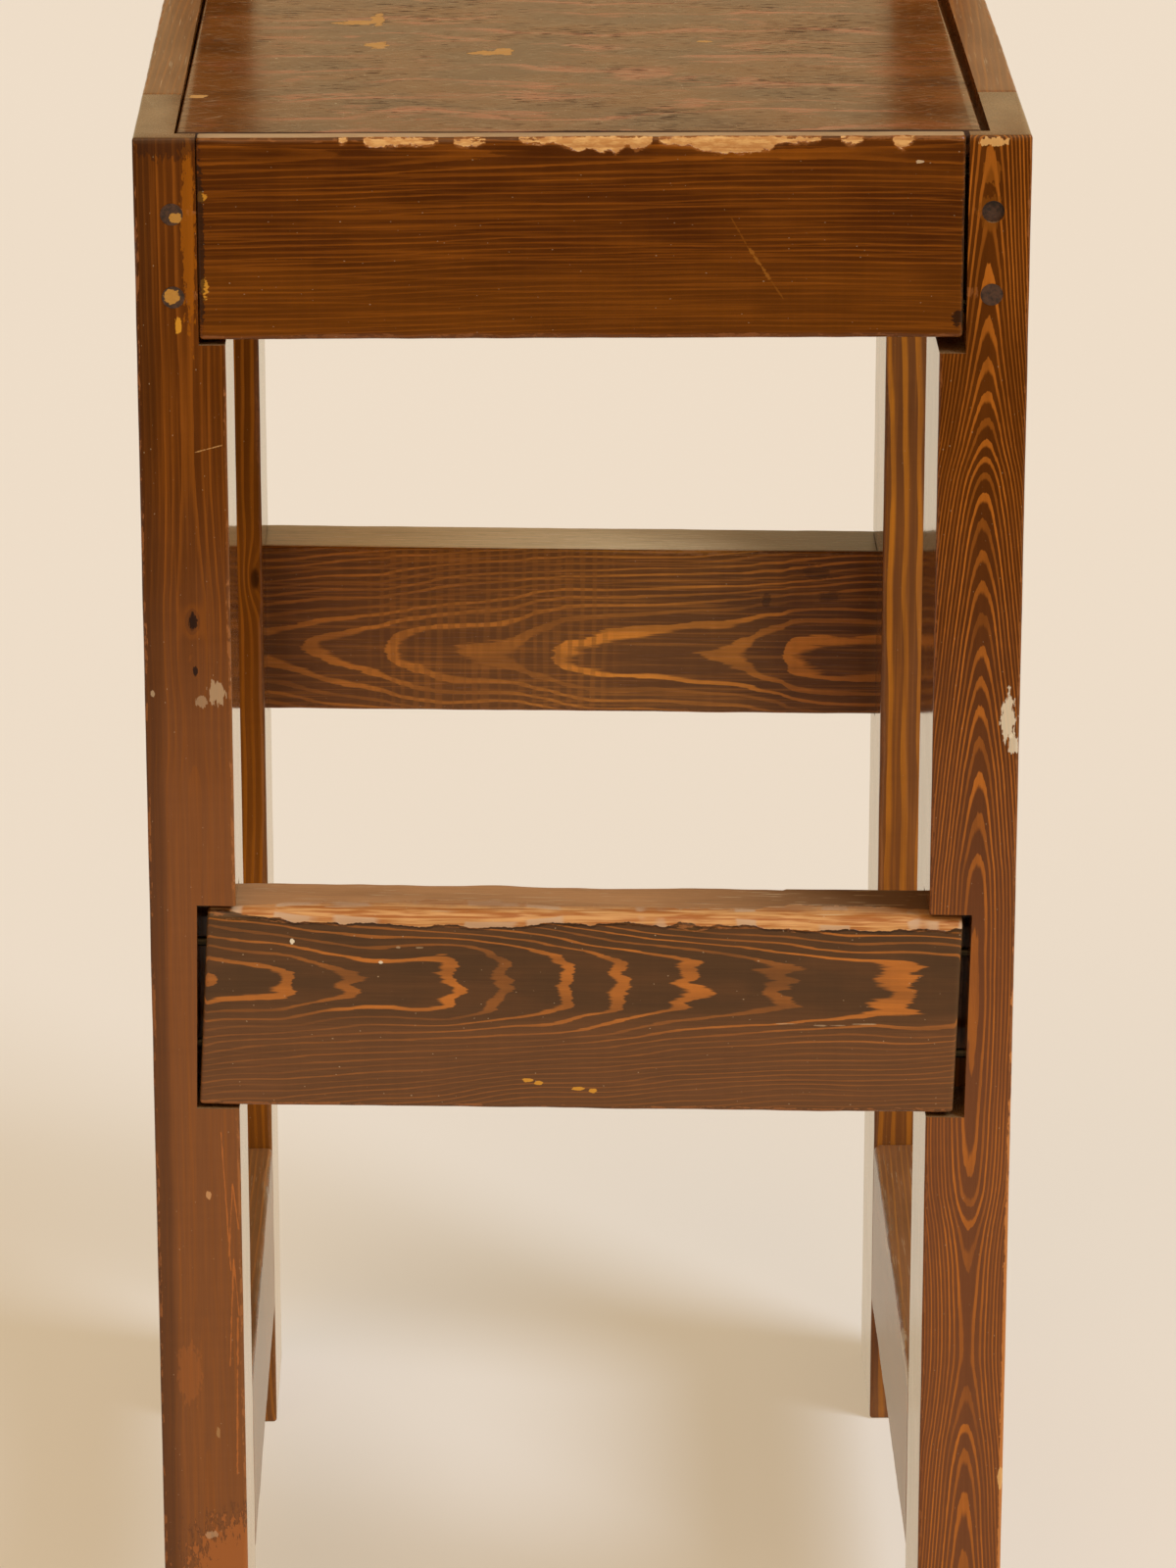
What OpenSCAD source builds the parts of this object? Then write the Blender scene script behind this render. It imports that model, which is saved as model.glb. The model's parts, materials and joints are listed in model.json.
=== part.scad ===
// Bar stool of straight softwood boards, with a low back
// The stool stands on Z = 0 with its front towards -Y, and X = 0 is its middle.
// Right is +X, as seen by someone who faces the front. All sizes are in millimetres.

/* [Overall] */
// Width across the legs
stool_width = 400; // [340:1:480]
// Depth from the front of the legs to the back of the posts
stool_depth = 478; // [420:1:560]
// Height of the seat frame's top
seat_height = 800; // [720:1:860]
// Height of the posts' tops above the seat frame's top
back_rise = 250; // [200:1:350]

/* [Timber] */
// Width of a leg or post, seen from the front
leg_width = 40; // [36:0.5:50]
// Depth of a leg or post, seen from the side
leg_depth = 88; // [76:1:100]
// Thickness of the crosswise rails
rail_thickness = 40; // [34:0.5:46]
// Height of the seat frame's four rails
seat_rail_height = 93; // [84:0.5:100]
// Bevel along every board's long edges
arris = 1.5; // [0.5:0.1:3]
// Bevel around a post's or leg's top end
end_arris = 2; // [0.5:0.1:3]

/* [Footrest] */
// Height of the footrest rail
footrest_height = 97; // [84:0.5:100]
// Height of the footrest rail's top above the floor, at its middle
footrest_top = 433; // [380:1:480]
// How far the footrest leans down to the right, in degrees
footrest_tilt = 1.05; // [0:0.05:1.5]
// How deep its ends are let into the legs
footrest_notch = 19; // [12:0.5:22]
// Gap between the rail's left end and its notch, at the top
footrest_left_gap = 5; // [0.5:0.1:6]
// How much that gap closes towards the bottom
footrest_left_slope = 3.8; // [0:0.1:4.5]
// Gap between the rail's right end and its notch, at the top
footrest_right_gap = 4; // [0.5:0.1:6]
// How much that gap opens towards the bottom
footrest_right_slope = 1.4; // [0:0.1:3]
// Gap above and below the rail in its notches
footrest_slack = 1.8; // [0.5:0.1:3]

/* [Back stretcher] */
// Height of the stretcher between the posts
stretcher_height = 90; // [80:0.5:100]
// Height of the stretcher's top above the floor, at its middle
stretcher_top = 477; // [420:1:520]
// How far the stretcher leans down to the right, in degrees
stretcher_tilt = 0.85; // [0:0.05:1.5]

/* [Lower side rails] */
// Height of the two rails near the floor
lower_rail_height = 92; // [80:0.5:100]
// Height of their undersides above the floor
lower_rail_bottom = 68; // [50:1:100]

/* [Backrest] */
// Height of the backrest rail
backrest_height = 93; // [70:0.5:110]

/* [Notches] */
// How deep the seat rails, stretcher and backrest are let into legs and posts
notch_depth = 12; // [8:0.5:16]
// Gap between a crosswise rail's left end and its notch
end_gap_left = 0.3; // [0.2:0.1:2]
// Gap between a crosswise rail's right end and its notch
end_gap_right = 1.7; // [0.2:0.1:3]
// Gap under the front seat rail on the left
front_gap_left = 2.2; // [0.5:0.1:4]
// Gap under the front seat rail on the right
front_gap_right = 7.2; // [0.5:0.1:9]
// Gap above and below the other rails in their notches
notch_slack = 1; // [0.5:0.1:2]

/* [Seat panel] */
// Thickness of the seat panel
panel_thickness = 12; // [9:0.5:18]
// How far the panel lies under the frame's top
panel_drop = 0.8; // [0:0.1:2]
// Width of the lip that the side rails leave beside the panel
side_lip = 18.5; // [14:0.5:24]
// Width of the lip that the front and back rails leave
front_lip = 8; // [5:0.5:14]
// Gap beside the panel's front edge
panel_front_gap = 0.4; // [0.2:0.1:2]
// Gap at the panel's front left corner
panel_left_gap = 0.4; // [0.2:0.1:3]
// Gap at the panel's front right corner
panel_right_gap = 3.2; // [0.5:0.1:5]
// How much each side gap opens towards the back
panel_taper = 1.8; // [0:0.1:3]
// Gap between the panel and the posts and back lip
panel_back_gap = 1; // [0.5:0.1:3]

/* [Plugs and screws] */
// Diameter of the round wooden plugs
plug_diameter = 10; // [8:0.5:12]
// How deep the long screws of the side rails are sunk
deep_bore = 38; // [20:1:50]
// How deep the short screws of the crosswise rails are sunk
shallow_bore = 9; // [6:0.5:12]
// Diameter of a screw's shank
shank_diameter = 4.5; // [3.5:0.1:6]
// Diameter of a screw's head
screw_head = 8.6; // [7:0.1:9.5]
// Height of a screw's countersunk head
screw_head_height = 2.8; // [2:0.1:4]
// How far a long screw goes into the side rail's end
long_screw_bite = 42; // [30:1:55]
// How far a short screw goes into the crosswise rail's end
short_screw_bite = 40; // [30:1:50]
// Height of the upper plug below the seat frame's top
upper_plug_drop = 35; // [28:0.5:45]
// Distance between the two plugs of a side rail
plug_spacing = 38; // [32:0.5:44]
// Distance of those plugs from the leg's outer side
plug_inset = 17; // [14:0.5:22]
// How far the upper right plug lies inside its hole
sunk_plug = 2; // [0:0.1:4]

/* [Dowels] */
// Diameter of the dowels of the lower side rails
dowel_diameter = 12; // [8:0.5:14]
// Length of those dowels
dowel_length = 70; // [50:1:90]

/* [Hidden] */
$fn = 32;

// Faces of the legs and posts
half_width = stool_width / 2;
inner_x = half_width - leg_width;
front_y = -stool_depth / 2;
back_y = stool_depth / 2;
leg_back_y = front_y + leg_depth;
post_front_y = back_y - leg_depth;

// The side rails lie between them
side_rail_length = post_front_y - leg_back_y;

// Seat frame
seat_rail_bottom = seat_height - seat_rail_height;
back_height = seat_height + back_rise;
rebate_depth = panel_thickness + panel_drop;
rebate_floor = seat_height - rebate_depth;
rebate_x = half_width - side_lip;
notch_x = inner_x + notch_depth;

// Crosswise rails
rail_left_x = -notch_x + end_gap_left;
rail_right_x = notch_x - end_gap_right;
rear_rail_y = back_y - rail_thickness;
backrest_bottom = back_height - backrest_height;
footrest_x = inner_x + footrest_notch;

// Screws along X sit in the middle of a crosswise rail's thickness
side_screw_inset = rail_thickness / 2;
upper_plug_z = seat_height - upper_plug_drop;
lower_plug_z = upper_plug_z - plug_spacing;
plug_x = half_width - plug_inset;
// The side screws pass above and below the long ones
screw_pass_above = 14;
screw_pass_below = 9;
seat_screw_heights = [lower_plug_z - screw_pass_below, upper_plug_z + screw_pass_above];
// Places of the screws in the height of the other crosswise rails
screw_height_shares = [0.24, 0.76];
// Places of the dowels in the height of a lower side rail
dowel_height_shares = [0.25, 0.75];

// Running clearance of shanks, heads, plugs and dowels in their holes, on the radius
fit = 0.05;
// Slot of a screw's head
slot_width = 1.1;
slot_depth = 1.2;
// Blunt length of a screw's tip
tip_length = 6;
tip_diameter = 1;
// Overrun of cuts
over = 1;

// Colours
leg_colour = [0.42, 0.24, 0.10];
rail_colour = [0.38, 0.22, 0.09];
side_colour = [0.44, 0.27, 0.13];
panel_colour = [0.36, 0.20, 0.11];
foot_colour = [0.34, 0.19, 0.09];
plug_colour = [0.27, 0.15, 0.07];
dowel_colour = [0.72, 0.55, 0.34];
screw_colour = [0.60, 0.56, 0.46];

// A rectangle with bevelled corners, from the origin
module bevelled(a, b, e) {
  polygon([
    [e, 0], [a - e, 0], [a, e], [a, b - e],
    [a - e, b], [e, b], [0, b - e], [0, e]
  ]);
}

// A board along X, Y or Z, from its lowest corner
module board_x(from, size) {
  translate([from.x, from.y, from.z])
    rotate([90, 0, 90])
      linear_extrude(height = size.x)
        bevelled(size.y, size.z, arris);
}

module board_y(from, size) {
  translate([from.x, from.y + size.y, from.z])
    rotate([90, 0, 0])
      linear_extrude(height = size.y)
        bevelled(size.x, size.z, arris);
}

// The outline of an upright board that is bevelled at its top end only
module topped(width, height) {
  polygon([
    [0, 0], [width, 0], [width, height - end_arris],
    [width - end_arris, height], [end_arris, height], [0, height - end_arris]
  ]);
}

// An upright board whose top end is bevelled on all four sides
module upright(from, size) {
  translate(from)
    intersection() {
      linear_extrude(height = size.z)
        bevelled(size.x, size.y, arris);
      translate([0, size.y, 0])
        rotate([90, 0, 0])
          linear_extrude(height = size.y)
            topped(size.x, size.z);
      rotate([90, 0, 90])
        linear_extrude(height = size.x)
          topped(size.y, size.z);
    }
}

// Turns a crosswise rail and all that belongs to it about the rail's middle
module leaning(tilt, y, z) {
  translate([0, y, z])
    rotate([0, tilt, 0])
      translate([0, -y, -z])
        children();
}

// Copies a piece of the right side to the left
module both_sides() {
  children();
  mirror([1, 0, 0])
    children();
}

// A countersunk wood screw whose head's top is at Z = 0 and whose tip points to -Z
module screw(length) {
  difference() {
    union() {
      translate([0, 0, -screw_head_height])
        cylinder(h = screw_head_height, d1 = shank_diameter, d2 = screw_head);
      translate([0, 0, -length + tip_length])
        cylinder(h = length - tip_length - screw_head_height, d = shank_diameter);
      translate([0, 0, -length])
        cylinder(h = tip_length, d1 = tip_diameter, d2 = shank_diameter);
    }
    translate([-screw_head / 2 - over, -slot_width / 2, -slot_depth])
      cube([screw_head + 2 * over, slot_width, slot_depth + over]);
  }
}

// The hole for a screw and its plug: the face of the wood is at Z = 0
module screw_hole(bore, length) {
  translate([0, 0, -bore])
    cylinder(h = bore + over, d = plug_diameter + 2 * fit);
  translate([0, 0, -bore - screw_head_height])
    cylinder(
      h = screw_head_height,
      d1 = shank_diameter + 2 * fit,
      d2 = screw_head + 2 * fit
    );
  translate([0, 0, -bore - length])
    cylinder(h = length, d = shank_diameter + 2 * fit);
}

// A plug that fills the bore above a screw's head, its outer end sunk by a little
module plug(bore, sunk) {
  translate([0, 0, -bore])
    cylinder(h = bore - sunk, d = plug_diameter);
}

// Length of a long screw, from the sunk head into the side rail
long_screw = leg_depth - deep_bore + long_screw_bite;
// Lengths of the short screws, which pass through what the notch leaves of the leg
short_screw = leg_width - notch_depth - shallow_bore + short_screw_bite;
footrest_screw = leg_width - footrest_notch - shallow_bore + short_screw_bite;

// Places of the long screws on the legs' front faces
module at_leg_fronts() {
  for (side = [-1, 1], z = [lower_plug_z, upper_plug_z])
    translate([side * plug_x, front_y, z])
      rotate([90, 0, 0])
        children();
}

// Places of the long screws on the posts' back faces
module at_post_backs() {
  for (side = [-1, 1], z = [lower_plug_z, upper_plug_z])
    translate([side * plug_x, back_y, z])
      rotate([-90, 0, 0])
        children();
}

// Places of the short screws on the outer sides, at given heights and depth
// They are drilled square to the side, also where the rail behind them leans.
module at_sides(heights, y, tilt = 0) {
  for (side = [-1, 1], z = heights)
    translate([side * half_width, y, z - side * half_width * tan(tilt)])
      rotate([0, side * 90, 0])
        children();
}

function heights_in(bottom, height) =
  [for (share = screw_height_shares) bottom + share * height];

footrest_bottom = footrest_top - footrest_height;
footrest_screw_heights = heights_in(footrest_bottom, footrest_height);
stretcher_bottom = stretcher_top - stretcher_height;
stretcher_screw_heights = heights_in(stretcher_bottom, stretcher_height);
backrest_screw_heights = heights_in(backrest_bottom, backrest_height);
dowel_heights = [for (share = dowel_height_shares) lower_rail_bottom + share * lower_rail_height];

front_screw_y = front_y + side_screw_inset;
rear_screw_y = back_y - side_screw_inset;
backrest_screw_y = post_front_y + side_screw_inset;
dowel_x = half_width - leg_width / 2;

module footrest_pose() {
  leaning(footrest_tilt, front_screw_y, footrest_top - footrest_height / 2)
    children();
}

module stretcher_pose() {
  leaning(stretcher_tilt, rear_screw_y, stretcher_top - stretcher_height / 2)
    children();
}

// A notch in the right leg or post, with the rail's thickness and a gap above and below
module notch(depth, y, bottom, height, slack) {
  translate([inner_x - over, y, bottom - slack])
    cube([depth + over, rail_thickness + over, height + 2 * slack]);
}

// A notch that goes on to the board's top end
module open_notch(y, bottom, height) {
  translate([inner_x - over, y - over, bottom])
    cube([notch_depth + over, rail_thickness + over, height + over]);
}

// Rebate for the seat panel, over the legs, rails and back rail
module panel_rebate() {
  translate([-rebate_x, front_y + front_lip, rebate_floor])
    cube([2 * rebate_x, stool_depth - 2 * front_lip, rebate_depth + over]);
}

// Dowels across the joints between the lower side rails and the legs or posts
module dowels(y, diameter) {
  for (side = [-1, 1], z = dowel_heights)
    translate([side * dowel_x, y - dowel_length / 2, z])
      rotate([-90, 0, 0])
        cylinder(h = dowel_length, d = diameter);
}

module dowel_holes() {
  dowels(leg_back_y, dowel_diameter + 2 * fit);
  dowels(post_front_y, dowel_diameter + 2 * fit);
}

// The holes of the two screws that enter each end of a leaning rail from the sides
module footrest_screw_holes() {
  at_sides(footrest_screw_heights, front_screw_y, footrest_tilt)
    screw_hole(shallow_bore, footrest_screw);
}

module stretcher_screw_holes() {
  at_sides(stretcher_screw_heights, rear_screw_y, stretcher_tilt)
    screw_hole(shallow_bore, short_screw);
}

// The holes of the other screws that enter crosswise rails
module side_screw_holes(heights, y) {
  at_sides(heights, y) screw_hole(shallow_bore, short_screw);
}

// A right front leg with its notch for the seat rail
module front_leg(front_gap) {
  difference() {
    upright([inner_x, front_y, 0], [leg_width, leg_depth, seat_height]);
    open_notch(front_y, seat_rail_bottom - front_gap, seat_rail_height + front_gap);
    panel_rebate();
  }
}

// What both front legs lose besides: the footrest's notch and the holes
module front_leg_cuts() {
  footrest_pose()
    both_sides()
      translate([0, -over, 0])
        notch(footrest_notch, front_y, footrest_bottom, footrest_height, footrest_slack);
  at_leg_fronts() screw_hole(deep_bore, long_screw);
  side_screw_holes(seat_screw_heights, front_screw_y);
  footrest_screw_holes();
  dowel_holes();
}

module front_leg_right() {
  color(leg_colour)
    difference() {
      front_leg(front_gap_right);
      front_leg_cuts();
    }
}

module front_leg_left() {
  color(leg_colour)
    difference() {
      mirror([1, 0, 0]) front_leg(front_gap_left);
      front_leg_cuts();
    }
}

// A right back post with its notches for the seat rail, at the back,
// and for the backrest, at the front and open at the top
module back_post() {
  difference() {
    upright([inner_x, post_front_y, 0], [leg_width, leg_depth, back_height]);
    notch(notch_depth, rear_rail_y, seat_rail_bottom, seat_rail_height, notch_slack);
    open_notch(post_front_y, backrest_bottom - notch_slack, backrest_height + notch_slack);
  }
}

// What both back posts lose besides: the stretcher's notch and the holes
module back_post_cuts() {
  stretcher_pose()
    both_sides()
      notch(notch_depth, rear_rail_y, stretcher_bottom, stretcher_height, notch_slack);
  at_post_backs() screw_hole(deep_bore, long_screw);
  side_screw_holes(seat_screw_heights, rear_screw_y);
  side_screw_holes(backrest_screw_heights, backrest_screw_y);
  stretcher_screw_holes();
  dowel_holes();
}

module back_post_right() {
  color(leg_colour)
    difference() {
      back_post();
      back_post_cuts();
    }
}

module back_post_left() {
  color(leg_colour)
    difference() {
      mirror([1, 0, 0]) back_post();
      back_post_cuts();
    }
}

// A crosswise rail between the notches
module cross_rail(y, bottom, height) {
  board_x([rail_left_x, y, bottom], [rail_right_x - rail_left_x, rail_thickness, height]);
}

module front_seat_rail() {
  color(rail_colour)
    difference() {
      cross_rail(front_y, seat_rail_bottom, seat_rail_height);
      panel_rebate();
      side_screw_holes(seat_screw_heights, front_screw_y);
    }
}

module back_seat_rail() {
  color(rail_colour)
    difference() {
      cross_rail(rear_rail_y, seat_rail_bottom, seat_rail_height);
      panel_rebate();
      side_screw_holes(seat_screw_heights, rear_screw_y);
    }
}

module side_seat_rail() {
  difference() {
    board_y([inner_x, leg_back_y, seat_rail_bottom], [leg_width, side_rail_length, seat_rail_height]);
    panel_rebate();
  }
}

module side_rail_holes() {
  at_leg_fronts() screw_hole(deep_bore, long_screw);
  at_post_backs() screw_hole(deep_bore, long_screw);
}

module side_seat_rail_right() {
  color(side_colour)
    difference() {
      side_seat_rail();
      side_rail_holes();
    }
}

module side_seat_rail_left() {
  color(side_colour)
    difference() {
      mirror([1, 0, 0]) side_seat_rail();
      side_rail_holes();
    }
}

// The panel goes round the posts and narrows a little towards the back
module seat_panel() {
  y0 = front_y + front_lip + panel_front_gap;
  y1 = post_front_y - panel_back_gap;
  y2 = back_y - front_lip - panel_back_gap;
  x_post = inner_x - panel_back_gap;
  color(panel_colour)
    translate([0, 0, rebate_floor])
      linear_extrude(height = panel_thickness)
        polygon([
          [-rebate_x + panel_left_gap, y0],
          [rebate_x - panel_right_gap, y0],
          [rebate_x - panel_right_gap - panel_taper, y1],
          [x_post, y1],
          [x_post, y2],
          [-x_post, y2],
          [-x_post, y1],
          [-rebate_x + panel_left_gap + panel_taper, y1]
        ]);
}

// The outline of the footrest, whose ends are not sawn square
module footrest_outline() {
  left_top = -footrest_x + footrest_left_gap;
  right_top = footrest_x - footrest_right_gap;
  polygon([
    [left_top - footrest_left_slope, 0],
    [right_top - footrest_right_slope, 0],
    [right_top, footrest_height],
    [left_top, footrest_height]
  ]);
}

module footrest_rail() {
  color(foot_colour)
    difference() {
      footrest_pose()
        intersection() {
          board_x(
            [-footrest_x, front_y, footrest_bottom],
            [2 * footrest_x, rail_thickness, footrest_height]
          );
          translate([0, front_y + rail_thickness + over, footrest_bottom])
            rotate([90, 0, 0])
              linear_extrude(height = rail_thickness + 2 * over)
                footrest_outline();
        }
      footrest_screw_holes();
    }
}

module back_stretcher() {
  color(rail_colour)
    difference() {
      stretcher_pose()
        cross_rail(rear_rail_y, stretcher_bottom, stretcher_height);
      stretcher_screw_holes();
    }
}

module lower_side_rail() {
  board_y(
    [inner_x, leg_back_y, lower_rail_bottom],
    [leg_width, side_rail_length, lower_rail_height]
  );
}

module lower_side_rail_right() {
  color(side_colour)
    difference() {
      lower_side_rail();
      dowel_holes();
    }
}

module lower_side_rail_left() {
  color(side_colour)
    difference() {
      mirror([1, 0, 0]) lower_side_rail();
      dowel_holes();
    }
}

module backrest_rail() {
  color(rail_colour)
    difference() {
      cross_rail(post_front_y, backrest_bottom, backrest_height);
      side_screw_holes(backrest_screw_heights, backrest_screw_y);
    }
}

module side_rail_front_screws() {
  color(screw_colour)
    at_leg_fronts()
      translate([0, 0, -deep_bore]) screw(long_screw);
}

module side_rail_back_screws() {
  color(screw_colour)
    at_post_backs()
      translate([0, 0, -deep_bore]) screw(long_screw);
}

module short_screws(heights, y, length, tilt = 0) {
  at_sides(heights, y, tilt)
    translate([0, 0, -shallow_bore]) screw(length);
}

module front_rail_screws() {
  color(screw_colour)
    short_screws(seat_screw_heights, front_screw_y, short_screw);
}

module back_rail_screws() {
  color(screw_colour)
    short_screws(seat_screw_heights, rear_screw_y, short_screw);
}

module footrest_screws() {
  color(screw_colour)
    short_screws(footrest_screw_heights, front_screw_y, footrest_screw, footrest_tilt);
}

module stretcher_screws() {
  color(screw_colour)
    short_screws(stretcher_screw_heights, rear_screw_y, short_screw, stretcher_tilt);
}

module backrest_screws() {
  color(screw_colour)
    short_screws(backrest_screw_heights, backrest_screw_y, short_screw);
}

// The upper right plug lies deeper than the other three
module leg_front_plugs() {
  color(plug_colour)
    for (side = [-1, 1], z = [lower_plug_z, upper_plug_z])
      translate([side * plug_x, front_y, z])
        rotate([90, 0, 0])
          plug(deep_bore, side > 0 && z == upper_plug_z ? sunk_plug : 0);
}

module post_back_plugs() {
  color(plug_colour)
    at_post_backs() plug(deep_bore, 0);
}

module front_rail_plugs() {
  color(plug_colour)
    at_sides(seat_screw_heights, front_screw_y) plug(shallow_bore, 0);
}

module back_rail_plugs() {
  color(plug_colour)
    at_sides(seat_screw_heights, rear_screw_y) plug(shallow_bore, 0);
}

module footrest_plugs() {
  color(plug_colour)
    at_sides(footrest_screw_heights, front_screw_y, footrest_tilt) plug(shallow_bore, 0);
}

module stretcher_plugs() {
  color(plug_colour)
    at_sides(stretcher_screw_heights, rear_screw_y, stretcher_tilt) plug(shallow_bore, 0);
}

module backrest_plugs() {
  color(plug_colour)
    at_sides(backrest_screw_heights, backrest_screw_y) plug(shallow_bore, 0);
}

module lower_rail_front_dowels() {
  color(dowel_colour)
    dowels(leg_back_y, dowel_diameter);
}

module lower_rail_back_dowels() {
  color(dowel_colour)
    dowels(post_front_y, dowel_diameter);
}

front_leg_left();
front_leg_right();
back_post_left();
back_post_right();
front_seat_rail();
back_seat_rail();
side_seat_rail_left();
side_seat_rail_right();
seat_panel();
footrest_rail();
back_stretcher();
lower_side_rail_left();
lower_side_rail_right();
backrest_rail();
side_rail_front_screws();
side_rail_back_screws();
front_rail_screws();
back_rail_screws();
footrest_screws();
stretcher_screws();
backrest_screws();
leg_front_plugs();
post_back_plugs();
front_rail_plugs();
back_rail_plugs();
footrest_plugs();
stretcher_plugs();
backrest_plugs();
lower_rail_front_dowels();
lower_rail_back_dowels();
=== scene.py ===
import json
import math
from dataclasses import dataclass

import bpy
from mathutils import Matrix, Vector, noise


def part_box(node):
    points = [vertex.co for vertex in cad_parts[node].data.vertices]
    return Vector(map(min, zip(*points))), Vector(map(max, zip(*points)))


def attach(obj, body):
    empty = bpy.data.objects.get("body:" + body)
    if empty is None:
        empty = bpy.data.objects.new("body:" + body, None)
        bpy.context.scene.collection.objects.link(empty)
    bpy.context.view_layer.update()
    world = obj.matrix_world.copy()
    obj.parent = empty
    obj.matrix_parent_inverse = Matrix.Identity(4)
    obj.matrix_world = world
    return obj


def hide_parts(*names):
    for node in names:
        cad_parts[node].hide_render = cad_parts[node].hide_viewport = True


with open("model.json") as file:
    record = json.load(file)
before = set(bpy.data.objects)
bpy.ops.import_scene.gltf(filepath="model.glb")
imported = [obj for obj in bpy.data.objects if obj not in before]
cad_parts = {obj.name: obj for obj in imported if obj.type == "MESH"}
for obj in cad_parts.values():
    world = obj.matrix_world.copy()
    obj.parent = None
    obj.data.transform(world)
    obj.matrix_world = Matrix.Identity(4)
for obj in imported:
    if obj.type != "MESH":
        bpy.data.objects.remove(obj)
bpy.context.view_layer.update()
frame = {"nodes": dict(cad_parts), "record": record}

# Bar stool: the looks of its boards, plugs and screws, the floor, the light and the camera.
# Lengths are in metres, and the wood's figure is in millimetres of its own board.

MM = 0.001

# The frame's faces
RIGHT_LEG, RIGHT_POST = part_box("front_leg_right"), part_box("back_post_right")
FRONT_RAIL, BACK_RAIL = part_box("front_seat_rail"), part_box("back_seat_rail")
PANEL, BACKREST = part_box("seat_panel"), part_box("backrest_rail")
INNER_X, HALF_WIDTH = RIGHT_LEG[0].x, RIGHT_LEG[1].x
FRONT_Y, POST_FRONT_Y, BACK_Y = RIGHT_LEG[0].y, RIGHT_POST[0].y, RIGHT_POST[1].y
SEAT_TOP = RIGHT_LEG[1].z
RAIL_DEPTH = FRONT_RAIL[1].y - FRONT_RAIL[0].y

# Sizes that the node boxes don't give
NOTCH, FOOT_NOTCH = 12 * MM, 19 * MM
FOOT_TOP, FOOT_HEIGHT, FOOT_TILT = 433 * MM, 97 * MM, math.radians(1.05)
STRETCHER_TOP, STRETCHER_HEIGHT, STRETCHER_TILT = 477 * MM, 90 * MM, math.radians(0.85)
FOOT_SLACK, NOTCH_SLACK = 1.8 * MM, 1 * MM
FRONT_GAP_LEFT, FRONT_GAP_RIGHT = 2.2 * MM, 7.2 * MM
FRONT_LIP, SIDE_LIP = 8 * MM, 18.5 * MM
BORE, DEEP_BORE, SHALLOW_BORE = 5.05 * MM, 38 * MM, 9 * MM
OVER = 2 * MM  # how far a cutter reaches beyond the face that it starts from


def wobble(place, size, seed):
    """Smooth noise from -1 to 1 whose lumps are about size across."""
    return noise.noise(Vector((place[0] / size, place[1] / size, place[2] / size + seed)))


# Meshes
TURN_STEPS = 6  # in a rounded arris
SMOOTH_ANGLE = math.radians(38)
NEAR_ARRIS = (1.2 * MM, 3 * MM, 6 * MM, 10 * MM)  # where a flat face has extra points
NEAR_SHARE = 0.3  # of a face, beyond which it has none of them
FACE_SPACING = 11 * MM
RING_SPACING = 4 * MM
CHIP_SPACING = 1 * MM
TROD_SPACING = 1.5 * MM
PLY_SPACING = 3 * MM
LEAST_RADIUS = 0.4 * MM
LEAST_INSET_RADIUS = 0.2 * MM
END_ROUNDING = 1.6 * MM
ARRIS = 1.8 * MM
SHARP_ARRIS = 1.6 * MM
POST_ARRIS = 2 * MM
SOFT_ARRIS = 2.4 * MM
STRETCHER_ARRIS = 2.5 * MM
WORN_ARRIS = 3 * MM
SWELL_LENGTH, FINE_SWELL_LENGTH, DENT_LENGTH = 45 * MM, 12 * MM, 30 * MM
DENT = 0.12 * MM
SPLINTER = 0.5 * MM
WHOLE = 4 * MM  # how far sound wood is from the splinters' border
FAR_FROM_ARRIS = 30.0  # for cut faces, in millimetres


def face_shares(length):
    """Places of the points along a flat face, closer together near its arrises."""
    near = [d for d in NEAR_ARRIS if d < length * NEAR_SHARE]
    inner = length - 2 * near[-1]
    count = max(1, round(inner / FACE_SPACING))
    middle = [near[-1] + inner * i / count for i in range(1, count)]
    return [d / length for d in near + middle + [length - d for d in reversed(near)]]


def section(width, depth, radii, inset):
    """Points round a board's section: (place, outward direction, distance from the arris, corner)."""
    arcs = []
    for corner in range(4):
        r = max(radii[corner] - inset, LEAST_INSET_RADIUS)
        a = width - inset - r if corner in (1, 2) else inset + r
        b = depth - inset - r if corner in (2, 3) else inset + r
        angles = [math.pi / 2 * (2 + corner + step / TURN_STEPS) for step in range(TURN_STEPS + 1)]
        ways = [(math.cos(angle), math.sin(angle)) for angle in angles]
        arcs.append([((a + r * x, b + r * y), (x, y), 0.0, corner) for x, y in ways])
    ring = []
    for corner, arc in enumerate(arcs):
        ring += arc
        after = (corner + 1) % 4
        (begin, way, *_), (end, *_) = arc[-1], arcs[after][0]
        length = (width, depth)[corner % 2]
        for share in face_shares(length):
            place = tuple(a + share * (b - a) for a, b in zip(begin, end))
            near = min(share, 1 - share) * length
            ring.append((place, way, near, corner if share < 0.5 else after))
    return ring


def add_object(name, data):
    thing = bpy.data.objects.new(name, data)
    bpy.context.scene.collection.objects.link(thing)
    return thing


def new_object(name, points, faces, values=None):
    """A mesh object, with values as number attributes of its points."""
    mesh = bpy.data.meshes.new(name)
    mesh.from_pydata(points, [], faces)
    for key, numbers in (values or {}).items():
        mesh.attributes.new(key, "FLOAT", "POINT").data.foreach_set("value", numbers)
    return add_object(name, mesh)


AXES = {"X": (1, 2, 0), "Y": (2, 0, 1), "Z": (0, 1, 2)}


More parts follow.
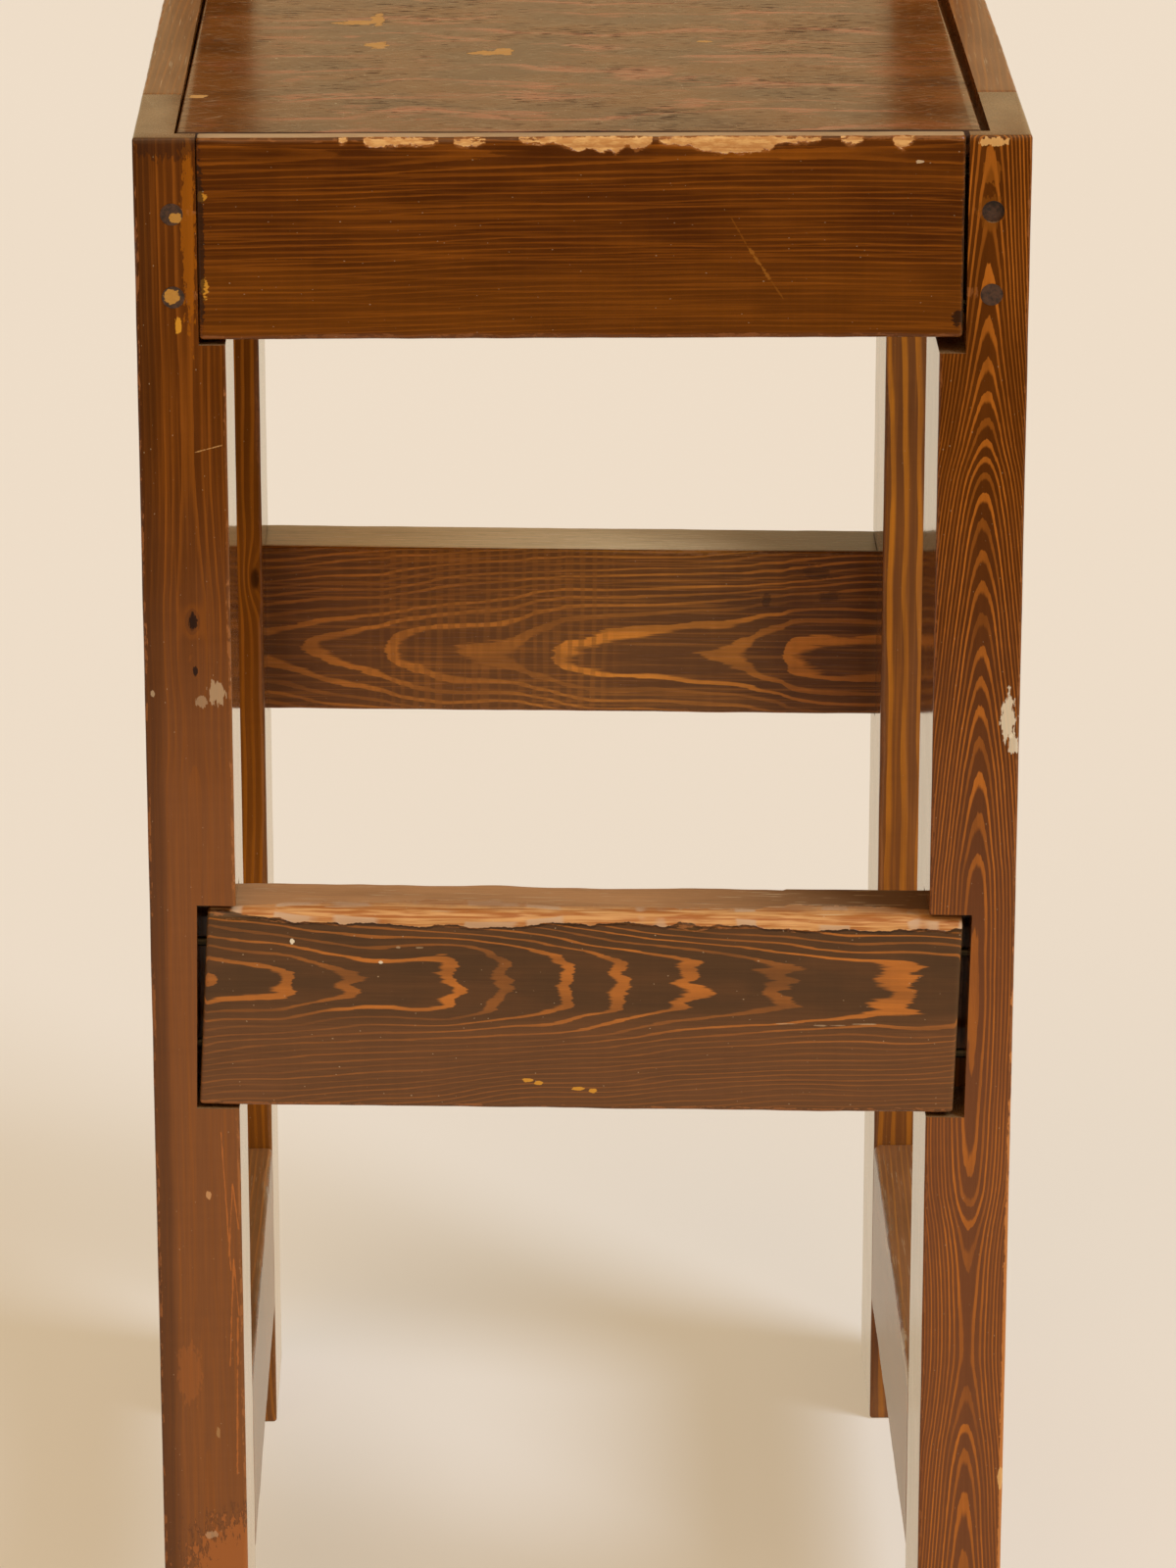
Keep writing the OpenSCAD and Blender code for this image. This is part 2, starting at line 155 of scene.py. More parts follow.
def board(name, grain, low, high, radius=ARRIS, wear=0.5, spacing=RING_SPACING, seed=0,
          broken_at=None, radius_at=None, reshape=None):
    """A hand-worn board: its arrises vary in roundness, and splinters are broken out of them.

    The section's corners are 0 at the two low axes, then anticlockwise seen from the grain's far end.
    broken_at gives how far a corner is broken away below it at a place along the grain, in metres.
    """
    a_axis, b_axis, w_axis = AXES[grain]
    width, depth, length = (high[i] - low[i] for i in (a_axis, b_axis, w_axis))
    end = END_ROUNDING
    stations = [(end * (1 - math.cos(t)), end * (1 - math.sin(t)))
                for t in (0, math.pi / 6, math.pi / 3)]
    count = max(2, round((length - 2 * end) / spacing))
    stations += [(end + (length - 2 * end) * i / count, 0.0) for i in range(count + 1)]
    stations += [(length - w, inset) for w, inset in reversed(stations[:3])]
    points, near_arris, bare = [], [], []
    for w, inset in stations:
        radii, breaks = [], []
        for corner in range(4):
            breaks.append(broken_at(corner, w) if broken_at else 0)
            swell = 1 + wear * wobble((w, corner * 7.3, 0), SWELL_LENGTH, seed)
            swell += 0.5 * wear * wobble((w, corner * 3.1, 2), FINE_SWELL_LENGTH, seed)
            base = radius_at(corner, w) if radius_at else radius
            radii.append(max(base * swell, LEAST_RADIUS))
        for (a, b), out, near, corner in section(width, depth, radii, inset):
            dent = DENT * (1 + wobble((w, a, b), DENT_LENGTH, seed + 5))
            inside = breaks[corner] * (1 - max(out[1], 0)) - near
            inside -= 0 if breaks[corner] else WHOLE
            share = min(max(inside / (2 * SPLINTER), 0), 1)
            dent += SPLINTER * (share * share * (3 - 2 * share))
            place = [0, 0, 0]
            place[a_axis] = low[a_axis] + a - out[0] * dent
            place[b_axis] = low[b_axis] + b - out[1] * dent
            place[w_axis] = low[w_axis] + w
            points.append(tuple(reshape(place) if reshape else place))
            near_arris.append(near / MM)
            bare.append(inside / MM)
    per_ring = len(points) // len(stations)
    steps = list(zip(range(per_ring), (*range(1, per_ring), 0)))
    faces = [(i + j, i + k, i + k + per_ring, i + j + per_ring)
             for i in range(0, len(points) - per_ring, per_ring) for j, k in steps]
    faces += [tuple(reversed(range(per_ring))), tuple(range(len(points) - per_ring, len(points)))]
    return new_object(name, points, faces, {"near": near_arris, "bare": bare})


def new_cutter(points, faces):
    far = [FAR_FROM_ARRIS] * len(points)
    return new_object("cutter", points, faces, {"near": far, "bare": [-away for away in far]})


def turned_about(angle, point):
    """A turn about the line through a point that runs from front to back."""
    return Matrix.Translation(point) @ Matrix.Rotation(angle, 4, "Y") @ Matrix.Translation(-point)


def block(low, high, turn=None):
    """A box that cuts a notch, turned about a point where turn gives (angle, point)."""
    corners = [[(low, high)[i][0], (low, high)[j][1], (low, high)[k][2]]
               for i in (0, 1) for j in (0, 1) for k in (0, 1)]
    faces = [(0, 1, 3, 2), (4, 6, 7, 5), (0, 4, 5, 1), (2, 3, 7, 6), (0, 2, 6, 4), (1, 5, 7, 3)]
    cutter = new_cutter(corners, faces)
    if turn:
        cutter.data.transform(turned_about(*turn))
    return cutter


def bore(mouth, direction, depth, sides=32):
    """A round hole from its mouth along a direction, with some overrun outwards."""
    start, way = Vector(mouth), Vector(direction).normalized()
    side = way.orthogonal().normalized()
    across = way.cross(side)
    angles = [2 * math.pi * i / sides for i in range(sides)]
    points = [start + way * along + (side * math.cos(angle) + across * math.sin(angle)) * BORE
              for along in (-OVER, depth) for angle in angles]
    faces = [(i, (i + 1) % sides, sides + (i + 1) % sides, sides + i) for i in range(sides)]
    faces += [tuple(reversed(range(sides))), tuple(range(sides, 2 * sides))]
    return new_cutter(points, faces)


def carve(thing, cutters):
    """Cuts the cutters out of a board."""
    for cutter in cutters:
        modifier = thing.modifiers.new("cut", "BOOLEAN")
        modifier.operation = "DIFFERENCE"
        modifier.solver = "EXACT"
        modifier.object = cutter
        cut = thing.evaluated_get(bpy.context.evaluated_depsgraph_get())
        made = bpy.data.meshes.new_from_object(cut)
        thing.modifiers.clear()
        thing.data = made
        bpy.data.objects.remove(cutter)


def piece(node, grain, material, slot, box=(), cutters=(), turn=None, **shape):
    """A worn board in a node's place, in the node's box unless box says otherwise."""
    thing = board(node + "_worn", grain, *(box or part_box(node)), **shape)
    carve(thing, cutters)
    mesh = thing.data
    if turn:
        mesh.transform(turned_about(*turn))
    mesh.materials.clear()
    mesh.materials.append(material)
    mesh.shade_smooth()
    mesh.set_sharp_from_angle(angle=SMOOTH_ANGLE)
    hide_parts(node)
    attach(thing, "root")


# Materials
PER_MM = (1 / MM, 1 / MM, 1 / MM)


def linear(colour):
    """The light values of a colour written as on a screen, 0 to 255."""
    shares = [value / 255 for value in colour]
    return (*[s / 12.92 if s <= 0.04045 else ((s + 0.055) / 1.055) ** 2.4 for s in shares], 1)


def sum_by(operation):
    return lambda value, other: value.graph.math(operation, value, other)


class Value:
    """One output of a node, for sums like those of numbers."""

    def __init__(self, graph, output):
        self.graph, self.output, self.node = graph, output, output.node

    __add__, __sub__, __mul__ = sum_by("ADD"), sum_by("SUBTRACT"), sum_by("MULTIPLY")

    def __rsub__(self, other):
        return self.graph.math("SUBTRACT", other, self)

    def __abs__(self):
        return self.graph.math("ABSOLUTE", self)

    def rise(self, low, high):
        """0 below low, 1 above high and a smooth rise between them."""
        return self.graph.add("MapRange", self, low, high, interpolation_type="SMOOTHSTEP")

    def fall(self, low, high):
        """1 below low, 0 above high and a smooth fall between them."""
        return 1 - self.rise(low, high)


class Graph:
    """The nodes of a material or a world. Three numbers for a colour are as on a screen."""

    def __init__(self, owner):
        owner.use_nodes = True
        self.owner, self.nodes, self.links = owner, owner.node_tree.nodes, owner.node_tree.links

    def put(self, socket, value):
        if isinstance(value, Value):
            self.links.new(value.output, socket)
        elif socket.type == "RGBA" and len(value) == 3:
            socket.default_value = linear(value)
        else:
            socket.default_value = value

    def add(self, kind, *inputs, output=0, **options):
        """One output of a new node, with inputs in their order, and inputs and settings by name."""
        node = self.nodes.new("ShaderNode" + kind)
        for key, option in options.items():
            if key in node.inputs:
                self.put(node.inputs[key], option)
            else:
                setattr(node, key, option)
        for socket, value in zip(node.inputs, inputs):
            self.put(socket, value)
        return Value(self, node.outputs[output])

    def math(self, operation, *values):
        return self.add("Math", *values, operation=operation)

    def most(self, a, b):
        return self.math("MAXIMUM", a, b)

    def distance(self, a, b):
        return self.math("SQRT", a * a + b * b)

    def vector(self, x, y, z):
        return self.add("CombineXYZ", x, y, z)

    def parts(self, vector):
        return [Value(self, part) for part in self.add("SeparateXYZ", vector).node.outputs]

    def scaled(self, vector, factors):
        return self.add("VectorMath", vector, factors, operation="MULTIPLY")

    def coordinate(self, name):
        return self.add("TexCoord", output=name)

    def noise(self, vector, scale=1, detail=2, roughness=0.5):
        return self.add("TexNoise", Vector=vector, Scale=scale, Detail=detail, Roughness=roughness)

    def curve(self, value, points):
        """A smooth curve through points whose two numbers go from 0 to 1."""
        bent = self.add("FloatCurve", Value=value)
        line = bent.node.mapping.curves[0]
        line.points[0].location = points[0]
        line.points[1].location = points[-1]
        for point in points[1:-1]:
            line.points.new(*point)
        bent.node.mapping.update()
        return bent

    def mix(self, share, low, high, blend="MIX"):
        mixed = self.add("Mix", share, data_type="RGBA", blend_type=blend, output=2)
        self.put(mixed.node.inputs[6], low)
        self.put(mixed.node.inputs[7], high)
        return mixed

    def shaded(self, tone, shade):
        return self.mix(1, tone, self.vector(shade, shade, shade), "MULTIPLY")

    def surface(self, tone, rough, height=None, strength=0.5, relief=0.12 * MM, mirror=0.5,
                metallic=0):
        """Sets how the surface looks and returns the finished material."""
        inputs = {"Base Color": tone, "Roughness": rough, "Specular IOR Level": mirror,
                  "Metallic": metallic}
        if height:
            inputs["Normal"] = self.add("Bump", Height=height, Strength=strength, Distance=relief)
        for name, value in inputs.items():
            self.put(self.nodes["Principled BSDF"].inputs[name], value)
        return self.owner


class BoardGraph(Graph):
    """A board's material, with places in millimetres: w along the grain, s across it and d deep.

    The shown face looks along the signed axis face, and middle is a point on it.
    """

    def __init__(self, name, grain, middle, face, turn=0.0):
        super().__init__(bpy.data.materials.new(name))
        place = self.add("Mapping", self.coordinate("Object"), vector_type="TEXTURE",
                         Location=middle, Rotation=(0, turn, 0))
        axes = dict(zip("XYZ", self.parts(self.scaled(place, PER_MM))))
        across = ({"X", "Y", "Z"} - {grain, face[1]}).pop()
        self.w, self.s = axes[grain], axes[across]
        self.d = axes[face[1]] * (-1 if face[0] == "+" else 1)
        self.place = self.vector(self.w, self.s, self.d)

    def lumps(self, size, **options):
        """Noise whose lumps are size long, across and, where a third number says so, deep."""
        long, across, deep = (*size, size[1])[:3]
        return self.noise(self.scaled(self.place, (1 / long, 1 / across, 1 / deep)), **options)

    def away(self, at_w, at_s, half_w, half_s):
        """How far a point is from the middle of a spot, whose border is at 1."""
        return self.distance((self.w - at_w) * (1 / half_w), (self.s - at_s) * (1 / half_s))

    def attribute(self, name):
        return self.add("Attribute", attribute_name=name, output="Fac")


class WoodGraph(BoardGraph):
    """A board's material with the noises that its figure, stain and wear have in common."""

    def __init__(self, *place):
        super().__init__(*place)
        self.hair = self.lumps(HAIR, detail=3, roughness=0.6)
        self.cloud = self.lumps(CLOUD, detail=3)
        self.streak = self.lumps(STREAK, roughness=0.6)
        self.crumble = self.lumps(CRUMBLE, detail=4, roughness=0.65)
        self.marks = self.lumps(MARKS, detail=1)


# Tones of the stained and varnished wood
DARK, MIDDLE, ORANGE = (72, 36, 8), (108, 58, 16), (170, 98, 28)
BARE, OCHRE, CREAM, SCUFF = (214, 160, 92), (206, 140, 40), (226, 206, 170), (190, 158, 116)
GRIME, DUST = (52, 34, 20), (136, 100, 62)
# The last tone is a painted highlight, where a rounded arris catches the light.
BROWN, AMBER, ARRIS_HIGHLIGHT = (126, 74, 34), (180, 100, 38), (190, 116, 52)

VARNISH = 0.24  # how strongly it mirrors

# The lumps of the wood's noises, in millimetres along the grain, across it and into the board
HAIR, CLOUD, STREAK, CRUMBLE, MARKS = (22, 0.6), (60, 16), (120, 1.8), (6, 2), (4, 60)
ZIGZAGS, SPIKES, FADES, RIPPLES = (50, 7), (14, 1.2), (90, 12), (60, 14)
PATCHES, CHIPS, THREADS, DUST_GRAINS = (45, 20), (4, 1.6), (26, 0.9), (1.6, 1.0)
CREST_EDGE, CREST_WAVES, CREST_STREAKS, CREST_FLAKES = (16, 30), (70, 200), (30, 1.2, 2.2), (22, 100)

# Other sizes of the figure, stain and wear, in millimetres
SWAY_ACROSS = 40
FLANK_FADE = (8, 26)
BAR_SPACING, BAR_FADE = 6.2, 20
LOW_TONE_WAVER, STRIP_WAVER = 150, 3
STRIP_DEPTH, SKIN_DEPTH = (12, 45), (1.5, 3)
CREST_RAGGED, CREST_WAVING, CREST_OFFSET = 7, 9, -2.2


@dataclass
class Look:
    """How a board looks, with places and sizes in millimetres."""

    # arches counts the rings by place along the grain, and wherever it passes a whole number, the
    # face shows an arch. The arch is level over crown to either side of centre, and beyond that the
    # rings lie closer, down to ring apart, the more slowly the greater flat is. With turning, crown
    # and flat are pairs that change between two places.
    arches: dict
    centre: float = 0
    crown: float = 0
    flat: float = 8
    turning: tuple = ()
    ring: float = 2.2
    sway: tuple = (2, 150)  # how far the rings sway, and over what length
    torn: tuple = (0.3, 0.2)  # how far long zigzags and short spikes tear them, in rings
    knots: tuple = ()  # (along, across, size)
    line: tuple = (0.55, 0.8)  # the part of a ring that is light
    fading: float = 0.4  # how much fainter the lines are at the board's flanks

    # The stain
    tones: tuple = (DARK, ORANGE, MIDDLE)  # of dark, light and clouded wood
    clouds: float = 0.5
    contrast: float = 1
    fibre: float = 0.3
    chatter: float = 0.1  # marks of the plane
    threads: float = 0
    low_tone: tuple = ()  # (colour, full below, none above, share, share of the lines that it hides)
    strips: tuple = ()  # (none here, full here, colour, share), across the face
    bars: tuple = ()  # (from, to, share) of saw marks that break the lines up

    # The wear
    worn: float = 1
    gloss: float = 0.12
    # The tops' pale tone is partly dust and partly painted sheen and light.
    dusty: float = 0
    dust_tone: tuple = DUST
    dust_fade: tuple = ()  # (none here, full here, colour) towards which the tops' pale tone turns along the board
    dust_rough: float = 0.45
    specks: float = 0.4
    spots: tuple = ()  # (along, across, half length, half height, colour, share)
    scratches: tuple = ()  # (from, to, colour, width)
    chipped: bool = False  # with splinters that the mesh marks
    crest: tuple = ()  # (height, none here, full here) of a broken top front arris


def ring_reach(g, look):
    """How far from the rings' centre a point lies, how far down the flank, and the knots' hearts."""
    sway, length = look.sway
    slow = g.lumps((length, SWAY_ACROSS), detail=1)
    across = abs(g.s - look.centre + (slow - 0.5) * (2 * sway))
    crown, flat = look.crown, look.flat
    if look.turning:
        turned = g.w.rise(*look.turning)
        crown, flat = [turned * (last - first) + first for first, last in (crown, flat)]
    flank = g.most(across - crown, 0)
    reach = g.distance(flank, abs(g.d) + flat)
    hearts = 0.0
    for at_w, at_s, size in look.knots:
        away = g.away(at_w, at_s, size / 0.4, size)
        away = away * away
        reach += g.math("EXPONENT", away * -1) * (size * 1.1)
        hearts = g.most(hearts, away.fall(0.04, 0.22))
    return reach - flat, flank, hearts


def late_wood(g, look):
    """Where the light late wood of each ring shows, and the knots' hearts."""
    reach, flank, hearts = ring_reach(g, look)
    start, least = min(look.arches), min(look.arches.values())
    length, counts = max(look.arches) - start, max(look.arches.values()) - least
    points = [((at - start) / length, (ring - least) / counts) for at, ring in look.arches.items()]
    count = g.curve((g.w - start) * (1 / length), points) * counts + least
    zigzag, spike = look.torn
    count += reach * (1 / look.ring) + (g.lumps(ZIGZAGS, detail=1) - 0.5) * zigzag
    count += (g.lumps(SPIKES) - 0.5) * spike
    phase = g.math("FRACT", count)
    strong = g.noise(g.vector(g.math("FLOOR", count) * 0.77, 3, 0), detail=0)
    late = phase.rise(*look.line) * phase.fall(0.955, 1) * (strong.rise(0.35, 0.6) * 0.55 + 0.45)
    late *= g.lumps(FADES).rise(0.35, 0.6) * 0.45 + 0.55
    return late * (1 - flank.rise(*FLANK_FADE) * look.fading), hearts


def saw_bars(g, look):
    """Evenly spaced marks of the saw between two places along the board."""
    begin, end, share = look.bars
    wave = g.math("SINE", g.w * (2 * math.pi / BAR_SPACING) + g.marks * 5) * 0.5 + g.marks * 2 - 1
    barred = g.w.rise(begin - BAR_FADE, begin) * g.w.fall(end, end + BAR_FADE)
    return barred * wave.rise(-0.1, 0.3) * g.cloud * (2 * share)


def stained(g, look):
    """The colour of the sound face, and where the late wood shows in it."""
    late, hearts = late_wood(g, look)
    dark, light, cloudy = look.tones
    barred = saw_bars(g, look) if look.bars else 0.0
    late *= 1 - barred
    tone = g.mix(g.cloud.rise(0.38, 0.66) * look.clouds, dark, cloudy)
    if look.low_tone:
        colour, full_below, none_above, share, hidden = look.low_tone
        lowness = (g.w + (g.cloud - 0.5) * LOW_TONE_WAVER).fall(full_below, none_above)
        tone = g.mix(lowness * share, tone, colour)
        late *= 1 - lowness * hidden
    tone = g.mix(late * look.contrast, tone, light)
    tone = g.mix(barred * 0.26, tone, light)
    tone = g.mix(g.streak.rise(0.5, 0.64) * look.threads, tone, light)
    for none_at, full_at, colour, share in look.strips:
        edge = g.s + (g.cloud - 0.5) * STRIP_WAVER
        strip = edge.rise(none_at, full_at) if none_at < full_at else edge.fall(full_at, none_at)
        tone = g.mix(strip * abs(g.d).fall(*STRIP_DEPTH) * share, tone, colour)
    tone = g.mix(hearts * 0.8, tone, (46, 24, 10))
    shade = (g.hair + g.streak - 1) * look.fibre + (g.marks - 0.5) * look.chatter + 1
    return g.shaded(tone, shade), late


def rubbed(g, look, tone):
    """Wear along the arrises."""
    rub = g.crumble * 1.6 + g.lumps(PATCHES) * 1.2 - g.attribute("near") * 0.9
    rub = rub.rise(1.40, 1.55) * look.worn
    return g.mix(rub * 0.6, tone, (158, 94, 42)), rub


def splintered(g, tone):
    """Bare wood where the mesh is marked as splintered, with a pale fringe."""
    bite = g.attribute("bare")
    chip = bite + (g.lumps(CHIPS, detail=3, roughness=0.6) - 0.5) * 5
    marked = bite.rise(-2.5, -2)
    broken = chip.rise(0.3, 0.55) * marked
    bare = g.mix(g.crumble.rise(0.4, 0.6), BARE, (190, 130, 66))
    bare = g.mix(g.streak.rise(0.4, 0.6) * 0.5, bare, (160, 100, 44))
    tone = g.mix(chip.rise(-0.7, 0.1) * marked * 0.6, tone, (150, 88, 36))
    return g.mix(broken, tone, bare), broken


def crested(g, look, tone):
    """Open wood along a broken top front arris, with a ragged dark border and pale flakes."""
    height, none_at, full_at = look.crest
    ragged = g.lumps(CREST_EDGE, detail=4, roughness=0.6)
    border = ragged * CREST_RAGGED + g.lumps(CREST_WAVES, detail=1) * CREST_WAVING + CREST_OFFSET
    left = height - g.s + g.d * 0.42 - border * g.w.rise(none_at, full_at)
    open_wood = left.fall(-0.15, 0.15)
    streaks = g.lumps(CREST_STREAKS, detail=3).rise(0.35, 0.65)
    worn_tone = g.mix(streaks, (158, 90, 34), (202, 144, 82))
    flake = (left + (ragged - 0.5) * 6).rise(-2.6, -2.2)
    flake *= g.lumps(CREST_FLAKES, detail=1).rise(0.52, 0.56)
    worn_tone = g.mix(flake * 0.85, worn_tone, (188, 148, 108))
    back_share = (g.d + (ragged - 0.5) * 20).rise(5, 14)
    worn_tone = g.mix(back_share * 0.7, worn_tone, (146, 100, 60))
    rim = left.rise(0.1, 0.3) * left.fall(0.9, 1.6)
    tone = g.mix(rim * 0.7, tone, (44, 26, 14))
    return g.mix(open_wood, tone, worn_tone), open_wood


def spotted(g, look, tone):
    """Spots of filler, paint and bare wood on the shown face, its scratches and its specks."""
    skin = abs(g.d).fall(*SKIN_DEPTH)
    for at_w, at_s, half_w, half_s, colour, share in look.spots:
        away = g.away(at_w, at_s, half_w, half_s) + (g.crumble - 0.5) * 2.4
        tone = g.mix(away.fall(0.88, 1) * skin * share, tone, colour)
    for (from_w, from_s), (to_w, to_s), colour, width in look.scratches:
        length = math.hypot(to_w - from_w, to_s - from_s)
        way_w, way_s = (to_w - from_w) / length, (to_s - from_s) / length
        off_w, off_s = g.w - from_w, g.s - from_s
        aside = abs(off_s * way_w - off_w * way_s) + (g.crumble - 0.5) * (3 * width)
        beyond = abs(off_w * way_w + off_s * way_s - length / 2)
        scratch = aside.fall(0.3 * width, 0.8 * width) * beyond.fall(length / 2 - 1, length / 2)
        tone = g.mix(scratch * skin * 0.7, tone, colour)
    grains = g.lumps(DUST_GRAINS, detail=0)
    return g.mix(grains.rise(0.845, 0.87) * look.specks, tone, SCUFF)


def ends_and_tops(g, look, grain, tone, clean):
    """Darker sawn ends, and tops paled by dust and painted sheen unless clean. Gives the tops as well.
    """
    facing = dict(zip("XYZ", g.parts(g.coordinate("Normal"))))
    sawn = abs(facing[grain]).rise(0.75, 0.9)
    tone = g.mix(sawn * 0.75, tone, g.mix(g.cloud, GRIME, DUST))
    up = facing["Z"].rise(0.8, 0.95)
    dust_tone = look.dust_tone
    if look.dust_fade:
        none_at, full_at, colour = look.dust_fade
        dust_tone = g.mix(g.w.rise(none_at, full_at), dust_tone, colour)
    dust_tone = g.shaded(dust_tone, g.streak * 0.4 + g.crumble * 0.25 + 0.7)
    tone = g.mix(up * (g.cloud + 0.5) * look.dusty * (1 - clean), tone, dust_tone)
    pale = g.lumps(THREADS, roughness=0.6).rise(0.66, 0.69)
    return g.mix(pale * up * look.dusty, tone, SCUFF), up


def wood(name, grain, middle, face="-Y", turn=0.0, **looks):
    """Stained softwood under varnish, whose rings follow the board's own figure."""
    look = Look(**looks)
    g = WoodGraph(name, grain, middle, face, turn)
    tone, late = stained(g, look)
    tone, rub = rubbed(g, look, tone)
    tone, broken = splintered(g, tone) if look.chipped else (tone, 0.0)
    tone, open_wood = crested(g, look, tone) if look.crest else (tone, 0.0)
    tone = spotted(g, look, tone)
    tone, up = ends_and_tops(g, look, grain, tone, open_wood)
    broken = g.most(broken, open_wood)
    rough = g.hair * 0.12 + look.gloss + up * (look.dusty * look.dust_rough)
    height = g.hair * 0.1 + late * 0.12 + g.lumps(RIPPLES) * 2.4 - broken * 4
    return g.surface(tone, rough + g.most(broken, rub * 0.4) * 0.45, height, mirror=VARNISH)


# The boards' wood. Left and right are as seen from the front.
MIDDLE_X = (HALF_WIDTH + INNER_X) / 2
KNOT = (40, 22, 12)
leg_left_wood = wood(
    "leg_wood_left", "Z", (-MIDDLE_X, FRONT_Y, 0),
    arches={0: -2.7, 90: -1.6, 170: -1, 207: -0.5, 233: -0.06, 258: 0.3, 330: 0.2, 420: -0.1,
            490: -0.3, 507: -0.02, 525: 0.2, 548: -0.2, 575: -0.35, 594: -0.04, 622: 0.4, 660: 0.7,
            740: 0.45, 800: 0.36},
    centre=2, flat=6, ring=2.6, sway=(1.6, 240), torn=(0.15, 0.12), line=(0.5, 0.86), fading=0.2,
    tones=((88, 44, 9), (140, 76, 18), (104, 54, 14)), contrast=0.8, threads=0.2, gloss=0.03,
    # The dark strip along the outer arris is painted shade on its rounding.
    low_tone=(BROWN, 460, 660, 0.8, 0.6), strips=((-9, -15, (70, 37, 12), 0.6),), dusty=0.4,
    knots=((575, 2.5, 4.2), (551, 3.5, 2.2)),
    spots=((541, 13, 6, 4, SCUFF, 0.6), (537, 6, 3, 3, SCUFF, 0.4), (541, -16, 1.6, 1.2, SCUFF, 0.6),
           (575, 3, 4, 2.2, KNOT, 0.9), (552, 3.5, 2, 1.2, KNOT, 0.9), (714, -1, 4, 1.6, OCHRE, 0.9),
           (757, 4.4, 46, 3.2, (156, 86, 12), 0.65), (719, 13, 1.5, 4.4, (206, 140, 76), 0.9),
           (294, 4.7, 2.4, 1.3, (190, 136, 84), 0.9), (172, 7, 3.5, 0.9, (166, 122, 72), 0.7),
           (203, -6, 16, 6, AMBER, 0.2), (101, 20, 31, 31, (84, 50, 26), 0.6),
           (98, 20, 29, 28, (160, 90, 36), 0.8), (119, 3, 2, 3, SCUFF, 0.4),
           (799, -4, 9, 18, (54, 30, 16), 0.6)),
    scratches=(((655, 5), (658.5, 18), (190, 140, 80), 0.4), ((326, 11), (255, 14.5), AMBER, 0.45),
               ((300, 16), (262, 13.6), AMBER, 0.5), ((300, 16), (276, 18.4), AMBER, 0.4),
               ((262, 15.8), (206, 13.2), AMBER, 0.5), ((262, 15.8), (232, 18), AMBER, 0.5),
               ((232, 17.3), (150, 15.6), AMBER, 0.6)))
leg_right_wood = wood(
    "leg_wood_right", "Z", (MIDDLE_X, FRONT_Y, 0),
    arches={0: -4, 119: 0.3, 141: 1, 163: 2, 177: 3, 198: 4, 212: 4.4, 247: 4, 272: 3, 284: 2, 298: 1,
            340: 0.1, 392: -0.4, 447: 0.2, 463: 1, 503: 3, 549: 6, 595: 9, 636: 12, 661: 15, 700: 18,
            742: 20, 800: 22},
    centre=1.5, flat=9, ring=1.35, sway=(1.5, 220), torn=(0.5, 0.25), line=(0.52, 0.7), fading=0.35,
    tones=((82, 40, 6), (176, 98, 26), (98, 50, 10)), contrast=0.9, gloss=0.03, dusty=0.4,
    low_tone=((118, 66, 32), 300, 620, 0.6, 0), worn=0.6,
    # The pale strip down the outer arris is a painted highlight on its rounding.
    spots=((170, 19.4, 200, 1.3, ARRIS_HIGHLIGHT, 0.8), (528, 14.5, 11, 3.4, CREAM, 0.75),
           (515, 17, 5, 2.4, CREAM, 0.7), (797, 3, 2, 7, BARE, 0.8), (146, 19, 6, 2, BARE, 0.8),
           (783, 2, 6, 4, (150, 84, 20), 0.5), (765, 2, 8, 6, (120, 66, 14), 0.6)))
post_left_wood = wood(
    "post_wood_left", "Z", (-MIDDLE_X, POST_FRONT_Y, 0),
    arches={0: 0.1, 250: 0.8, 420: 0.3, 560: 0.7, 700: 0.2, 840: 0.6, 1050: 0}, centre=-14, flat=3,
    ring=4.4, sway=(5, 150), torn=(0.3, 0.1), line=(0.5, 0.75), fading=0,
    tones=((100, 54, 10), (164, 96, 24), (128, 72, 18)), contrast=0.8, knots=((476, 16, 6),), worn=0.5,
    gloss=0.03, low_tone=((140, 82, 28), 380, 640, 0.5, 0))
post_right_wood = wood(
    "post_wood_right", "Z", (MIDDLE_X, POST_FRONT_Y, 0),
    arches={0: 1.7, 200: 1.3, 350: 1.55, 480: 1.25, 600: 1, 690: 0.6, 760: 0.1, 1050: 0}, centre=28,
    flat=3, ring=7.4, sway=(3, 110), torn=(0.3, 0.05), line=(0.5, 0.72), fading=0,
    tones=((116, 68, 32), (194, 116, 32), (136, 80, 34)), contrast=0.9, threads=0.15, worn=0.4,
    gloss=0.03, low_tone=(BROWN, 300, 560, 0.3, 0.3))
front_rail_wood = wood(
    "front_rail_wood", "X", (0, FRONT_Y, FRONT_RAIL[0].z),
    arches={-172: 0.3, -103: 0.96, -36: 1.96, 30: 2.5, 98: 2.75, 172: 2.1}, centre=85, flat=7,
    ring=2.5, sway=(2.2, 130), torn=(0.3, 0.3), line=(0.58, 0.88), fading=0.2,
    tones=((76, 35, 4), (146, 78, 12), (96, 48, 6)), contrast=0.62, clouds=0.8, threads=0.3, fibre=0.4,
    # The pale tone on its top lip is partly dust and partly a painted highlight.
    chatter=0.14, gloss=0.1, dusty=0.9, dust_tone=(172, 136, 94), worn=0.6, chipped=True,
    strips=((46, 20, (116, 62, 8), 0.35),),
    spots=((149.5, 81, 1.8, 0.8, SCUFF, 0.9), (-169.5, 66, 2.4, 2, OCHRE, 0.7),
           (-169, 24, 1.8, 5, OCHRE, 0.8), (-170.4, 45, 1.8, 40, (46, 28, 14), 0.8),
           (171, 40, 1.6, 44, (44, 26, 12), 0.8), (169, 9, 4, 4, (30, 18, 10), 0.8)),
    scratches=(((66, 56), (76, 38), (120, 66, 12), 0.6), ((74, 42), (84, 27), (150, 90, 24), 1.1),
               ((84, 27), (90, 18), (124, 70, 14), 0.7)))
